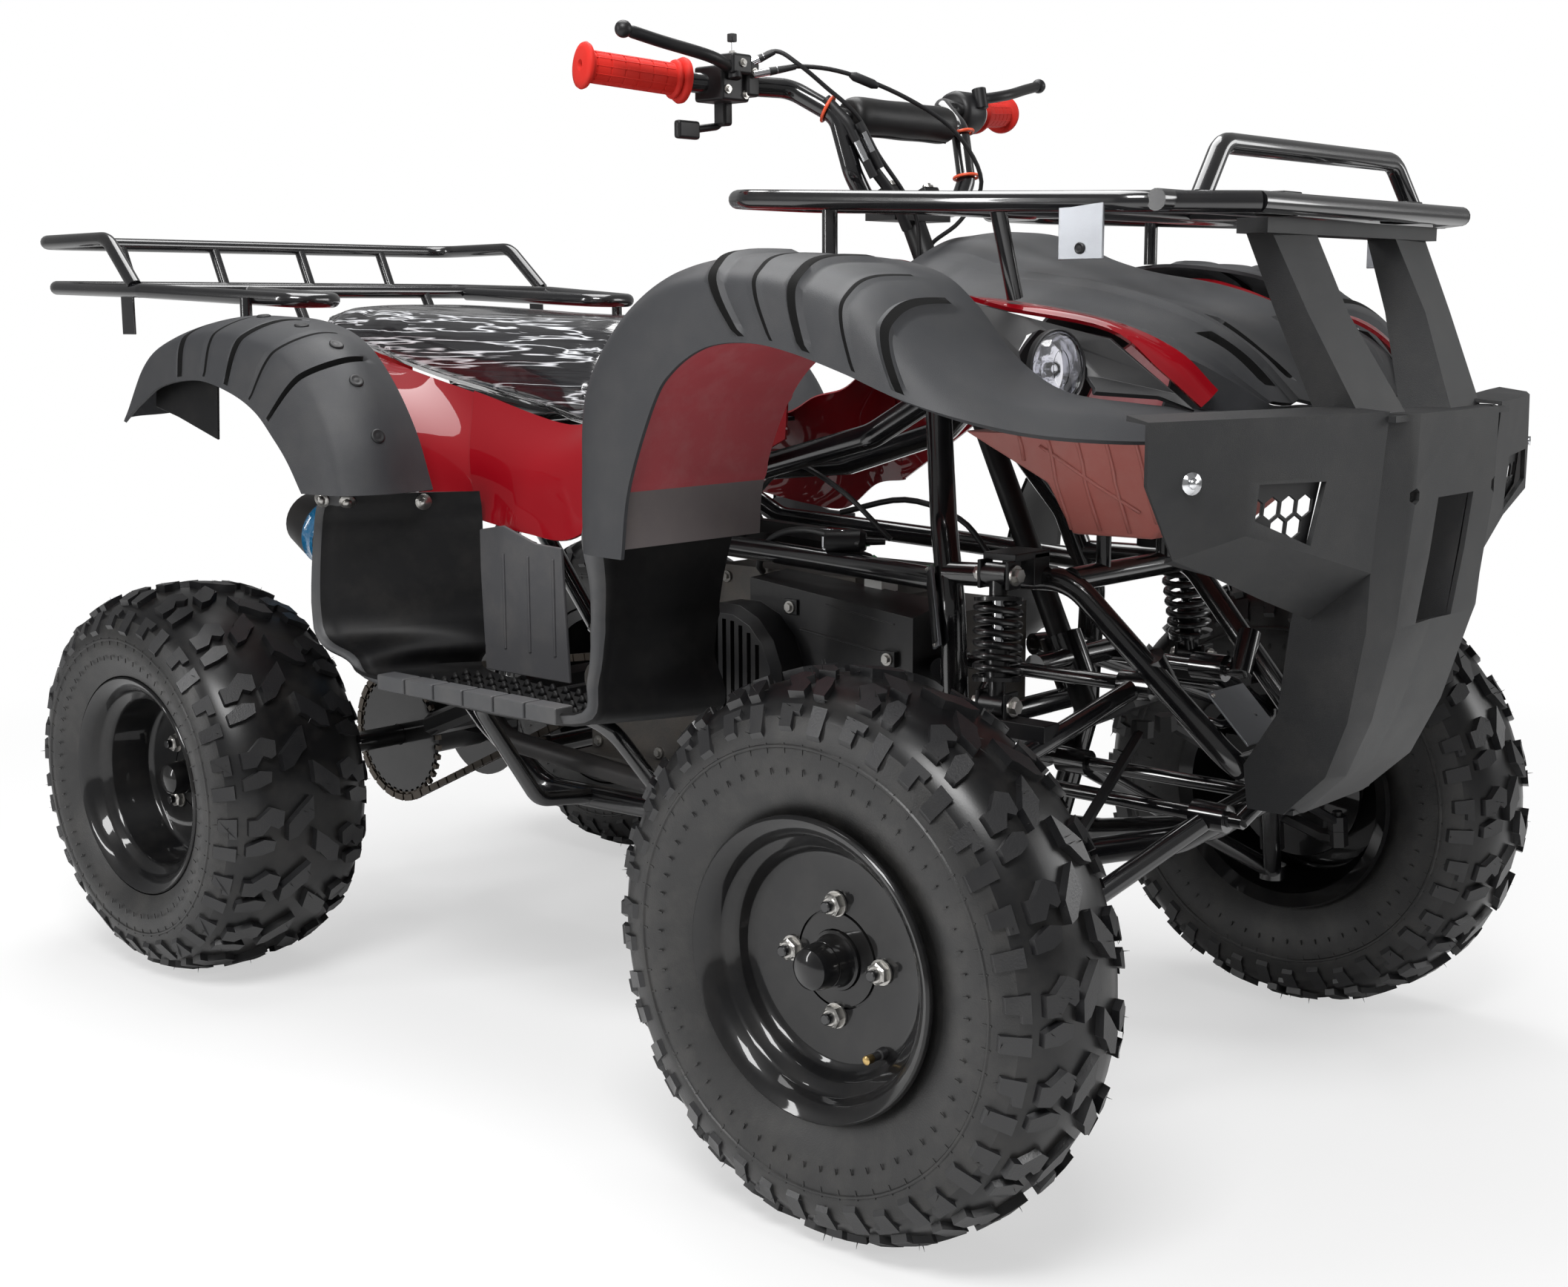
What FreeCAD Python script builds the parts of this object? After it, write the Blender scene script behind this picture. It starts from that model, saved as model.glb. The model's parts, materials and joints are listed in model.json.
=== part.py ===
import FreeCAD, Part
import math
import os
from FreeCAD import Vector as V

# Utility quad bike on 23 x 7-10 front and 22 x 10-10 rear tyres. Millimetres.
# The bike faces -Y, its left side is +X, and the floor is at Z = 0.

# Overall layout
wheelbase = 1195.0
front_overhang = 376.0          # bumper face ahead of the front axle
rear_overhang = 454.0           # rear rack behind the rear axle
front_track = 904.0
rear_track = 836.0
station_base = 1195.0           # the layout that the body stations are drawn for
station_front = 376.0
station_rear = 454.0

# Wheels
front_tyre_radius = 278.0       # to the tips of the lugs
rear_tyre_radius = 264.0
front_tyre_width = 160.0
rear_tyre_width = 234.0
lug_height = 11.0
lug_length = 30.0               # round the tyre
lug_sweep = 0.30                # of a pitch, from the middle of the tread to its shoulder
bead_radius = 127.0             # ten inch rim
flange_radius = 144.0
rim_wall = 4.0
rim_well_depth = 18.0
front_disc_offset = 28.0        # wheel disc outboard of the tyre's middle
rear_disc_offset = 10.0
disc_wall = 5.0
stud_circle = 110.0
hub_radius = 38.0
hub_cap_radius = 19.0
hub_cap_reach = 46.0
brake_disc_radius = 88.0
brake_disc_wall = 4.0
sprocket_radius = 88.0
sprocket_wall = 6.0
drive_sprocket_radius = 24.0
chain_width = 10.0
chain_height = 11.0
chain_links = 24                # plates that are drawn, on both runs
chain_x = -84.0                 # middle of the chain and of both sprockets
spindle_radius = 12.0
axle_radius = 15.0
ball_stud_radius = 6.0
pivot_radius = 8.0
wheel_facets = 16
pin_sides = 12

# Steering and front suspension
kingpin_inset = 92.0            # kingpin inboard of the tyre's middle
lower_ball_height = 195.0
upper_ball_height = 372.0
steer_arm_reach = 96.0
steer_arm_height = 60.0
column_radius = 14.0
column_top = (0, -300, 990)
column_foot = (0, -560, 430)
pitman_reach = 77.0
pitman_half = 24.0
pitman_wall = 8.0
pitman_drop = 32.0              # tie rod's inner ball under the foot of the column
tie_rod_radius = 6.0
tie_end_half = 9.0
arm_tube_radius = 11.0
lower_pivot_height = 362.0
shock_eye_half = 15.0
shock_coil_radius = 24.0
shock_wire_radius = 4.5
fork_wall = 5.0

# Frame tubes, racks and handlebar
frame_tube_radius = 15.0
side_tube_radius = 13.0
rack_tube_radius = 10.0
rack_wire_radius = 8.0
bar_tube_radius = 11.0
cable_radius = 2.5
brace_radius = 8.0
grip_radius = 17.0
grip_length = 125.0
grip_flange = 8.0
pad_radius = 23.0
tube_sides = 6
shock_top = (390, 700)          # rear shock's eyes, as y and z
shock_foot = (470, 336)

# Bodywork
panel_wall = 4.0
bumper_wall = 5.0
grille_wall = 3.0
grille_cell = 12.5              # corner radius of one cell
grille_rib = 3.0
grille_seat = 1.9               # the wing's face bows back this far behind its window
lamp_tab_hole = 4.0
lamp_tab_wall = 3.0
sill_blocks = 6
lamp_gap = 1.0                  # round each headlight, in its recess
fit = 0.3                       # gap between pieces that only touch

overall_length = front_overhang + wheelbase + rear_overhang
front_axle_y = -overall_length / 2 + front_overhang
rear_axle_y = front_axle_y + wheelbase
half_base = station_base / 2


def at(x, y, z):
    """A body point: y is drawn from the middle of the wheelbase, and stretches with the layout."""
    if y < -half_base:
        return V(x, front_axle_y + (y + half_base) * front_overhang / station_front, z)
    if y > half_base:
        return V(x, rear_axle_y + (y - half_base) * rear_overhang / station_rear, z)
    return V(x, front_axle_y + (y + half_base) * wheelbase / station_base, z)


def flat_faces(corners):
    """One plane face through the corners, or two triangles where they are not in a plane."""
    ring = [p for i, p in enumerate(corners) if p.distanceToPoint(corners[i - 1]) > 1e-4]
    if len(ring) < 3:
        return []
    if len(ring) == 4:
        normal = (ring[1] - ring[0]).cross(ring[2] - ring[0])
        if normal.Length > 1e-6 and abs(normal.normalize().dot(ring[3] - ring[0])) > 1e-5:
            return flat_faces(ring[:3]) + flat_faces([ring[0], ring[2], ring[3]])
    return [Part.Face(Part.makePolygon(ring + ring[:1]))]


def solid_of(faces):
    shell = Part.makeShell(faces)
    shell.sewShape()
    solid = Part.makeSolid(shell)
    if solid.Volume < 0:
        solid.reverse()
    return solid


def loft(rings, closed=False):
    """A solid with flat facets through rings that have as many corners each."""
    faces = []
    pairs = list(zip(rings, rings[1:])) + ([(rings[-1], rings[0])] if closed else [])
    for one, two in pairs:
        for i in range(len(one)):
            faces += flat_faces([one[i - 1], one[i], two[i], two[i - 1]])
    if not closed:
        faces += [Part.Face(Part.makePolygon(r + r[:1])) for r in (rings[0], rings[-1])]
    return solid_of(faces)


def moulding(grid, wall):
    """A thin wall on a grid of points, grown from them to the side of the grid's normal."""
    rows = len(grid)
    cols = len(grid[0])
    back = []
    for i in range(rows):
        line = []
        for j in range(cols):
            down = grid[min(i + 1, rows - 1)][j] - grid[max(i - 1, 0)][j]
            along = grid[i][min(j + 1, cols - 1)] - grid[i][max(j - 1, 0)]
            line.append(grid[i][j] + down.cross(along).normalize() * wall)
        back.append(line)
    faces = []
    for i in range(rows - 1):
        for j in range(cols - 1):
            cell = [(i, j), (i, j + 1), (i + 1, j + 1), (i + 1, j)]
            a, b, c, d = [grid[k][m] for k, m in cell]
            if a.distanceToPoint(c) > b.distanceToPoint(d):
                cell = cell[1:] + cell[:1]
            for layer in (grid, back):
                faces += flat_faces([layer[k][m] for k, m in cell])
    rim = [(0, j) for j in range(cols)] + [(i, cols - 1) for i in range(1, rows)]
    rim += [(rows - 1, j) for j in range(cols - 2, -1, -1)] + [(i, 0) for i in range(rows - 2, 0, -1)]
    for (i, j), (k, m) in zip(rim, rim[1:] + rim[:1]):
        faces += flat_faces([grid[i][j], grid[k][m], back[k][m], back[i][j]])
    return solid_of(faces)


def turned(profile, centre, sides, phase=0.5):
    """A ring with flat facets about X: the profile holds (x, radius) corners."""
    rings = []
    for k in range(sides):
        a = 2 * math.pi * (k + phase) / sides
        rings.append([centre + V(x, r * math.sin(a), -r * math.cos(a)) for x, r in profile])
    return loft(rings, closed=True)


def drum(profile, centre, sides=16, phase=0.5):
    """A solid with flat facets about X, closed at both ends."""
    rings = []
    for x, r in profile:
        turns = [2 * math.pi * (k + phase) / sides for k in range(sides)]
        rings.append([centre + V(x, r * math.sin(a), -r * math.cos(a)) for a in turns])
    return loft(rings)


def rod(start, end, radius, sides=tube_sides):
    return tube([start, end], radius, sides=sides)


def bore(start, end, radius):
    """A hole whose flats lie outside the radius, so that a faceted pin can turn in it."""
    return rod(start, end, radius / math.cos(math.pi / pin_sides), pin_sides)


def bent(points, radius, steps):
    """The path with its corners cut into short straight steps on an arc."""
    path = [points[0]]
    for before, corner, after in zip(points, points[1:], points[2:]):
        a = (before - corner).normalize()
        b = (after - corner).normalize()
        half = math.acos(max(-1, min(1, a.dot(b)))) / 2
        room = 0.45 * min(before.distanceToPoint(corner), after.distanceToPoint(corner))
        reach = min(radius / math.tan(half), room)
        arc_radius = reach * math.tan(half)
        middle = corner + (a + b).normalize() * (arc_radius / math.sin(half))
        start = corner + a * reach - middle
        end = corner + b * reach - middle
        sweep = math.pi - 2 * half
        for k in range(steps + 1):
            t = k / steps
            path.append(middle + (start * math.sin((1 - t) * sweep) + end * math.sin(t * sweep))
                        * (1 / math.sin(sweep)))
    return path + [points[-1]]


def tube(points, radius, bend=0, sides=tube_sides, steps=1):
    """A round bar with flat facets along a path, mitred at each corner."""
    path = bent(points, bend, steps) if bend else list(points)
    along = (path[1] - path[0]).normalize()
    side = along.cross(V(0, 0, 1))
    if side.Length < 0.1:
        side = along.cross(V(1, 0, 0))
    side.normalize()
    up = side.cross(along)
    turns = [2 * math.pi * (k + 0.5) / sides for k in range(sides)]
    ring = [path[0] + side * (radius * math.cos(t)) + up * (radius * math.sin(t)) for t in turns]
    rings = [ring]
    for i in range(1, len(path)):
        along = (path[i] - path[i - 1]).normalize()
        mitre = along
        if i < len(path) - 1:
            mitre = (along + (path[i + 1] - path[i]).normalize()).normalize()
        ring = [p + along * ((path[i] - p).dot(mitre) / along.dot(mitre)) for p in ring]
        rings.append(ring)
    return loft(rings)


def across(y, outline):
    """A ring in the plane across the bike at a station, from (x, z) corners."""
    return [at(x, y, z) for x, z in outline]


def level(z, outline):
    """A ring in a level plane, from (x, y) corners."""
    return [at(x, y, z) for x, y in outline]


def full_width(half):
    """The line of (x, z) or (x, y) corners with its other half, from its last corner at X = 0."""
    return list(half) + [(-x, v) for x, v in half[-2::-1]]


def joined(solids):
    """One solid from pieces that are welded or moulded together."""
    whole = solids[0].multiFuse(solids[1:]) if len(solids) > 1 else solids[0]
    return whole.removeSplitter()


def both_sides(make, *values):
    """The same piece on the right, at -X, and on the left."""
    right = make(*values)
    left = right.mirror(V(0, 0, 0), V(1, 0, 0))
    return [right, left]


def block(low, high):
    size = high - low
    return Part.makeBox(size.x, size.y, size.z, low)


def box_at(x0, x1, y0, y1, z0, z1):
    """A box between two body points."""
    return block(at(min(x0, x1), min(y0, y1), min(z0, z1)), at(max(x0, x1), max(y0, y1), max(z0, z1)))

# Wheels

def tyre_profile(width, radius):
    """Half the carcass is drawn, from the bead to the crown, and mirrored."""
    half = width / 2
    half_profile = [(half - 22, bead_radius + fit), (half - 14, flange_radius + 6),
                    (half, radius * 0.80), (half - 5, radius * 0.92), (half * 0.55, radius)]
    outer = [(-x, r) for x, r in half_profile]
    return outer + half_profile[::-1]


def lug(centre, side, turn, width, radius):
    """One slanted tread block from the middle of the tread over its shoulder."""
    half = width / 2
    pitch = 2 * math.pi / wheel_facets
    carcass = radius - lug_height
    rings = []
    for x, deep, high, sweep in ((4, carcass - 4, radius, 0),
                                 (half - 6, carcass * 0.86, radius * 0.97, lug_sweep)):
        a = turn + sweep * pitch
        out = V(0, math.sin(a), -math.cos(a))
        round_way = V(0, math.cos(a), math.sin(a)) * (lug_length / 2)
        shift = V(side * x, 0, 0)
        rings.append([centre + shift + out * deep - round_way, centre + shift + out * high - round_way,
                      centre + shift + out * high + round_way, centre + shift + out * deep + round_way])
    return loft(rings)


def tyre(centre, width, radius):
    carcass = (radius - lug_height) / math.cos(math.pi / wheel_facets)
    pieces = [turned(tyre_profile(width, carcass), centre, wheel_facets)]
    pitch = 2 * math.pi / wheel_facets
    for k in range(wheel_facets):
        pieces.append(lug(centre, -1, k * pitch, width, radius))
        pieces.append(lug(centre, 1, (k + 0.5) * pitch, width, radius))
    return joined(pieces)


def rim(centre, out, half, disc_offset):
    """Pressed steel rim: out is the way to the outside, +1 or -1."""
    barrel = bead_radius - fit
    well = bead_radius - rim_well_depth
    low = disc_offset - disc_wall + 1
    high = disc_offset + 1
    profile = [(-half, flange_radius), (-half + 6, barrel), (-half * 0.4, barrel),
               (-half * 0.25, well), (half * 0.2, well), (half * 0.45, barrel), (half - 6, barrel),
               (half, flange_radius), (half - 6, barrel - rim_wall), (high, well - rim_wall),
               (high, hub_radius - 8), (low, hub_radius - 8), (low, well - rim_wall - 3),
               (-half + 6, barrel - rim_wall)]
    return turned([(out * x, r) for x, r in profile], centre, wheel_facets)


def front_hub(centre, out):
    """Hub with its flange, dust cap, wheel studs and the brake disc."""
    face = front_disc_offset + 1 + fit
    back = front_disc_offset - disc_wall + 1 - fit
    cap = drum([(out * (face - 6), hub_radius - 9), (out * (face + 8), hub_radius - 11),
                (out * (face + 9), hub_cap_radius), (out * (face + hub_cap_reach), hub_cap_radius - 2)],
               centre, 12)
    hub = drum([(out * -34, hub_radius - 8), (out * (back - 8), hub_radius - 8),
                (out * (back - 7), stud_circle / 2 + 12), (out * back, stud_circle / 2 + 12)], centre, 12)
    neck = drum([(out * (back - 1), hub_radius - 9), (out * (face - 5), hub_radius - 9)], centre, 12)
    disc = drum([(out * -30, brake_disc_radius), (out * (-30 + brake_disc_wall), brake_disc_radius)],
                centre, wheel_facets)
    hole = bore(centre + V(out * -40, 0, 0), centre + V(out * 5, 0, 0), spindle_radius + fit)
    return joined([hub, neck, cap, disc]).cut(hole)


def front_wheel(side):
    centre = V(side * front_track / 2, front_axle_y, front_tyre_radius)
    return {
        "tyre": tyre(centre, front_tyre_width, front_tyre_radius),
        "rim": rim(centre, side, front_tyre_width / 2 - 2, front_disc_offset),
        "hub": front_hub(centre, side),
    }


def rear_tyres():
    centre = V(-rear_track / 2, rear_axle_y, rear_tyre_radius)
    return both_sides(tyre, centre, rear_tyre_width, rear_tyre_radius)


def rear_rims():
    centre = V(-rear_track / 2, rear_axle_y, rear_tyre_radius)
    return both_sides(rim, centre, -1, rear_tyre_width / 2 - 13, rear_disc_offset)


def rear_axle():
    """Live axle with both hubs, the sprocket and the brake disc."""
    centre = V(0, rear_axle_y, rear_tyre_radius)
    face = rear_track / 2 + rear_disc_offset + 1 + fit
    back = rear_track / 2 + rear_disc_offset - disc_wall + 1 - fit
    parts = [rod(centre - V(face - 4, 0, 0), centre + V(face - 4, 0, 0), axle_radius, pin_sides)]
    for side in (-1, 1):
        parts.append(drum([(side * (back - 70), hub_radius - 8), (side * (back - 8), hub_radius - 8),
                           (side * (back - 7), stud_circle / 2 + 12),
                           (side * back, stud_circle / 2 + 12)], centre, 12))
        parts.append(drum([(side * (back - 1), hub_radius - 9), (side * (face + 4), hub_radius - 9),
                           (side * (face + 16), hub_cap_radius)], centre, 12))
    half = sprocket_wall / 2
    parts.append(drum([(chain_x - half, sprocket_radius), (chain_x + half, sprocket_radius)],
                      centre, wheel_facets))
    parts.append(drum([(70, brake_disc_radius), (70 + brake_disc_wall, brake_disc_radius)],
                      centre, wheel_facets))
    return joined(parts)


# Front suspension and steering

kingpin_x = front_track / 2 - kingpin_inset
lower_ball = (kingpin_x + 8, -half_base, lower_ball_height)
upper_ball = (kingpin_x - 8, -half_base + 6, upper_ball_height)


def kingpin_axis(side):
    low = at(side * lower_ball[0], lower_ball[1], lower_ball[2])
    high = at(side * upper_ball[0], upper_ball[1], upper_ball[2])
    return (high - low).normalize()


def kingpin_bore(side, radius):
    low = at(side * lower_ball[0], lower_ball[1], lower_ball[2])
    high = at(side * upper_ball[0], upper_ball[1], upper_ball[2])
    return bore(low - kingpin_axis(side) * 40, high + kingpin_axis(side) * 40, radius)


def steer_ball(side):
    """Top of the steering arm's eye, on the line that the tie rod turns about."""
    return at(side * (kingpin_x - 12), -half_base, lower_ball_height + steer_arm_height) \
        - V(0, steer_arm_reach, 0)


def knuckle(side):
    """Upright between the two balls with the wheel's stub, the caliper and the steering arm."""
    low = at(side * lower_ball[0], lower_ball[1], lower_ball[2])
    high = at(side * upper_ball[0], upper_ball[1], upper_ball[2])
    stub = V(side * kingpin_x, front_axle_y, front_tyre_radius)
    end = V(side * (front_track / 2 + 2), front_axle_y, front_tyre_radius)
    steer = steer_ball(side)
    axis = kingpin_axis(side)
    upright = rod(low + axis * 15, high - axis * 9, 15)
    studs = rod(low - axis * 20, high + axis * 20, ball_stud_radius, pin_sides)
    boss = rod(stub - V(side * 16, 0, 0), stub + V(side * 22, 0, 0), 30, 12)
    spindle = rod(stub, end, spindle_radius, pin_sides)
    arm = tube([stub + V(0, -8, -18), steer + V(0, 20, -10), steer - axis * 10], 9)
    eye = rod(steer - axis * 20, steer, 12)
    stud = rod(steer - axis * 2, steer + axis * (2 * tie_end_half + 6), ball_stud_radius, pin_sides)
    caliper = block(V(-12, -26, 0), V(12, 26, 44))
    caliper.translate(stub + V(side * 40, 58, 22))
    bracket = rod(stub + V(0, 10, 12), stub + V(side * 34, 56, 40), 8)
    return joined([upright, studs, boss, spindle, arm, eye, stud, bracket, caliper])


def pitman_ball(side):
    top = at(*column_top)
    foot = at(*column_foot)
    axis = (top - foot).normalize()
    return foot + V(side * pitman_half, 0, 0) + V(0, -axis.z, axis.y) * pitman_reach - axis * pitman_drop


def tie_rod(side):
    axis = kingpin_axis(side)
    inner = pitman_ball(side)
    outer = steer_ball(side) + axis * (tie_end_half + fit)
    ends = [rod(p - axis * tie_end_half, p + axis * tie_end_half, 12) for p in (inner, outer)]
    hole = bore(outer - axis * 30, outer + axis * 30, ball_stud_radius + fit)
    return joined([rod(inner, outer, tie_rod_radius)] + ends).cut(hole)


def shock_ends(side):
    return at(side * 180, -562, 612), at(side * 198, -574, 478)


def shock_fork(point):
    """Two ears and the pin that hold one eye of a shock absorber."""
    ears = []
    for way in (-1, 1):
        ear = block(V(-11, -fork_wall / 2, -15), V(11, fork_wall / 2, 15))
        ear.translate(point + V(0, way * (shock_eye_half + fit + fork_wall / 2), 0))
        ears.append(ear)
    bolt = rod(point - V(0, shock_eye_half + 1, 0), point + V(0, shock_eye_half + 1, 0), 6)
    return ears + [bolt]


def shock_seat(side):
    """Saddle on the upper arm with the fork for the shock's lower eye."""
    foot = shock_ends(side)[1]
    saddle = block(V(-14, -70, -30), V(14, 62, -12))
    saddle.translate(foot)
    return [saddle] + shock_fork(foot)


def a_arms():
    """Upper and lower wishbones on both sides, with bushes at the frame and a ball cup outside."""
    solids = []
    for side in (-1, 1):
        low = lower_pivot_height
        for ball, pivots, cup in ((lower_ball, ((62, -752, low), (62, -500, low)), -14),
                                  (upper_ball, ((74, -668, 492), (74, -490, 492)), 14)):
            tip = at(side * ball[0], ball[1], ball[2])
            head = rod(tip + V(0, 0, cup - 9), tip + V(0, 0, cup + 9), 17)
            pieces = [head]
            for x, y, z in pivots:
                root = at(side * x, y, z)
                pieces.append(rod(root, tip + V(0, 0, cup), arm_tube_radius))
                pieces.append(rod(root - V(0, 20, 0), root + V(0, 20, 0), 15))
            if ball is upper_ball:
                pieces += shock_seat(side)
            arm = joined(pieces).cut(kingpin_bore(side, ball_stud_radius + fit))
            x, y, z = pivots[0]
            arm = arm.cut(rod(at(side * x, y - 60, z), at(side * x, y + 400, z), pivot_radius + fit))
            solids.append(arm)
    return solids


def front_shock(side):
    """Coil spring unit between the frame bracket and the upper arm."""
    top, foot = shock_ends(side)
    down = (foot - top).normalize()
    half = V(0, shock_eye_half, 0)
    length = top.distanceToPoint(foot)
    turns = 4
    first = 26
    rise = (length - 2 * first - 2 * shock_wire_radius) / turns
    pieces = [rod(eye - half, eye + half, 12, 8) for eye in (top, foot)]
    pieces.append(rod(top, foot, 10))
    for k in range(turns + 1):
        middle = top + down * (first + shock_wire_radius + k * rise)
        pieces.append(loft([[p + down * h for p in shock_ring(middle, down, r)]
                            for h, r in ((-shock_wire_radius, 17), (-1, shock_coil_radius),
                                         (1, shock_coil_radius), (shock_wire_radius, 17))]))
    body = joined(pieces)
    for eye in (top, foot):
        body = body.cut(rod(eye - half * 2, eye + half * 2, 6 + fit))
    return body


def shock_ring(middle, down, radius):
    side = down.cross(V(0, 1, 0)).normalize()
    ahead = side.cross(down)
    turns = [2 * math.pi * (k + 0.5) / tube_sides for k in range(tube_sides)]
    return [middle + side * (radius * math.cos(t)) + ahead * (radius * math.sin(t)) for t in turns]


def steering_column():
    """Raked shaft with the bar clamp on top and the pitman plate at its foot."""
    top = at(*column_top)
    foot = at(*column_foot)
    axis = (top - foot).normalize()
    ahead = V(0, -axis.z, axis.y)
    shaft = rod(foot, top, column_radius, pin_sides)
    clamp = block(V(-52, -22, -14), V(52, 22, 14))
    clamp.translate(top + axis * 10)
    plate = loft([[foot + axis * h + V(x, 0, 0) + ahead * r
                   for x, r in ((-20, -18), (20, -18), (34, pitman_reach + 8),
                                (-34, pitman_reach + 8))] for h in (-pitman_wall, 0)])
    return joined([shaft, clamp, plate]).cut(handlebar())


def handlebar():
    """Bent bar with its cross brace."""
    half = [(18, -303, 1001), (84, -303, 1003), (106, -300, 1036), (113, -284, 1098),
            (138, -236, 1129), (250, -196, 1130), (374, -155, 1140.7)]
    path = [at(-x, y, z) for x, y, z in half[::-1]] + [at(x, y, z) for x, y, z in half]
    bar = tube(path, bar_tube_radius, 30, sides=8)
    brace = rod(at(-114, -281, 1100), at(114, -281, 1100), brace_radius)
    return joined([bar, brace])


def bar_pad():
    return [rod(at(-92, -281, 1100), at(92, -281, 1100), pad_radius, 12)
            .cut(rod(at(-94, -281, 1100), at(94, -281, 1100), brace_radius + fit))]


def grips():
    end = at(-380, -153, 1141.4)
    start = at(-250, -196, 1130)
    along = (start - end).normalize()

    def grip():
        sleeve = rod(end, end + along * grip_length, grip_radius, 12)
        outer = rod(end, end + along * 4, grip_radius + grip_flange, 12)
        inner = rod(end + along * (grip_length - 5), end + along * grip_length,
                    grip_radius + grip_flange, 12)
        core = rod(end + along * 4, end + along * (grip_length + 2), bar_tube_radius + 2 * fit, 8)
        return joined([sleeve, outer, inner]).cut(core)
    return both_sides(grip)


def bar_controls():
    """Brake lever perch with its lever, thumb throttle and switch housing."""
    start = at(-222, -206, 1128)
    perch = block(V(-20, -24, -18), V(24, 20, 20))
    perch.translate(start)
    tank = block(V(-14, -34, 10), V(18, -4, 34))
    tank.translate(start)
    lever = tube([start + V(-4, -22, 16), start + V(-48, -34, 24), start + V(-108, -18, 36),
                  start + V(-150, -10, 44)], 6, 30)
    tip = rod(start + V(-146, -11, 43), start + V(-160, -8, 46), 9)
    stem = tube([start + V(16, 4, -12), start + V(14, 12, -34), start + V(-18, 24, -44)], 6, 10)
    paddle = block(V(-50, 14, -58), V(-16, 22, -38))
    paddle.translate(start)
    right = joined([perch, tank, lever, tip, stem, paddle])
    left_start = at(222, -206, 1128)
    housing = rod(left_start - V(24, 0, 0), left_start + V(22, 0, 0), 27, 12)
    lever = tube([left_start + V(4, -16, 12), left_start + V(48, -34, 24),
                  left_start + V(108, -18, 36), left_start + V(150, -10, 44)], 6, 30)
    left = joined([housing, lever])
    return [right.cut(handlebar()), left.cut(handlebar())]


def bar_cables():
    """Brake and throttle cables from the right controls, looping down to a clip on the column."""
    brake = [(-197, -232, 1153), (-178, -250, 1165), (-160, -268, 1151), (-132, -283, 1128),
             (-102, -303, 1098), (-76, -312, 1057), (-50, -328, 1016), (-32, -334, 984), (-17.5, -327, 934)]
    throttle = [(-197, -240, 1140), (-160, -266, 1149), (-112, -297, 1143), (-50, -335, 1117),
                (4, -362, 1081), (32, -377, 1028), (28, -350, 985), (17.5, -316, 958), (17.5, -327, 934)]
    cables = [tube([at(*p) for p in route], cable_radius, 30, 5, 2) for route in (brake, throttle)]
    shaft = at(*column_top)
    axis = (shaft - at(*column_foot)).normalize()
    clip = rod(shaft - axis * 68, shaft - axis * 58, 24, pin_sides)
    clip = clip.cut(bore(shaft - axis * 90, shaft - axis * 40, column_radius + fit))
    return joined(cables + [clip])


# Frame and drive

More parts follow.
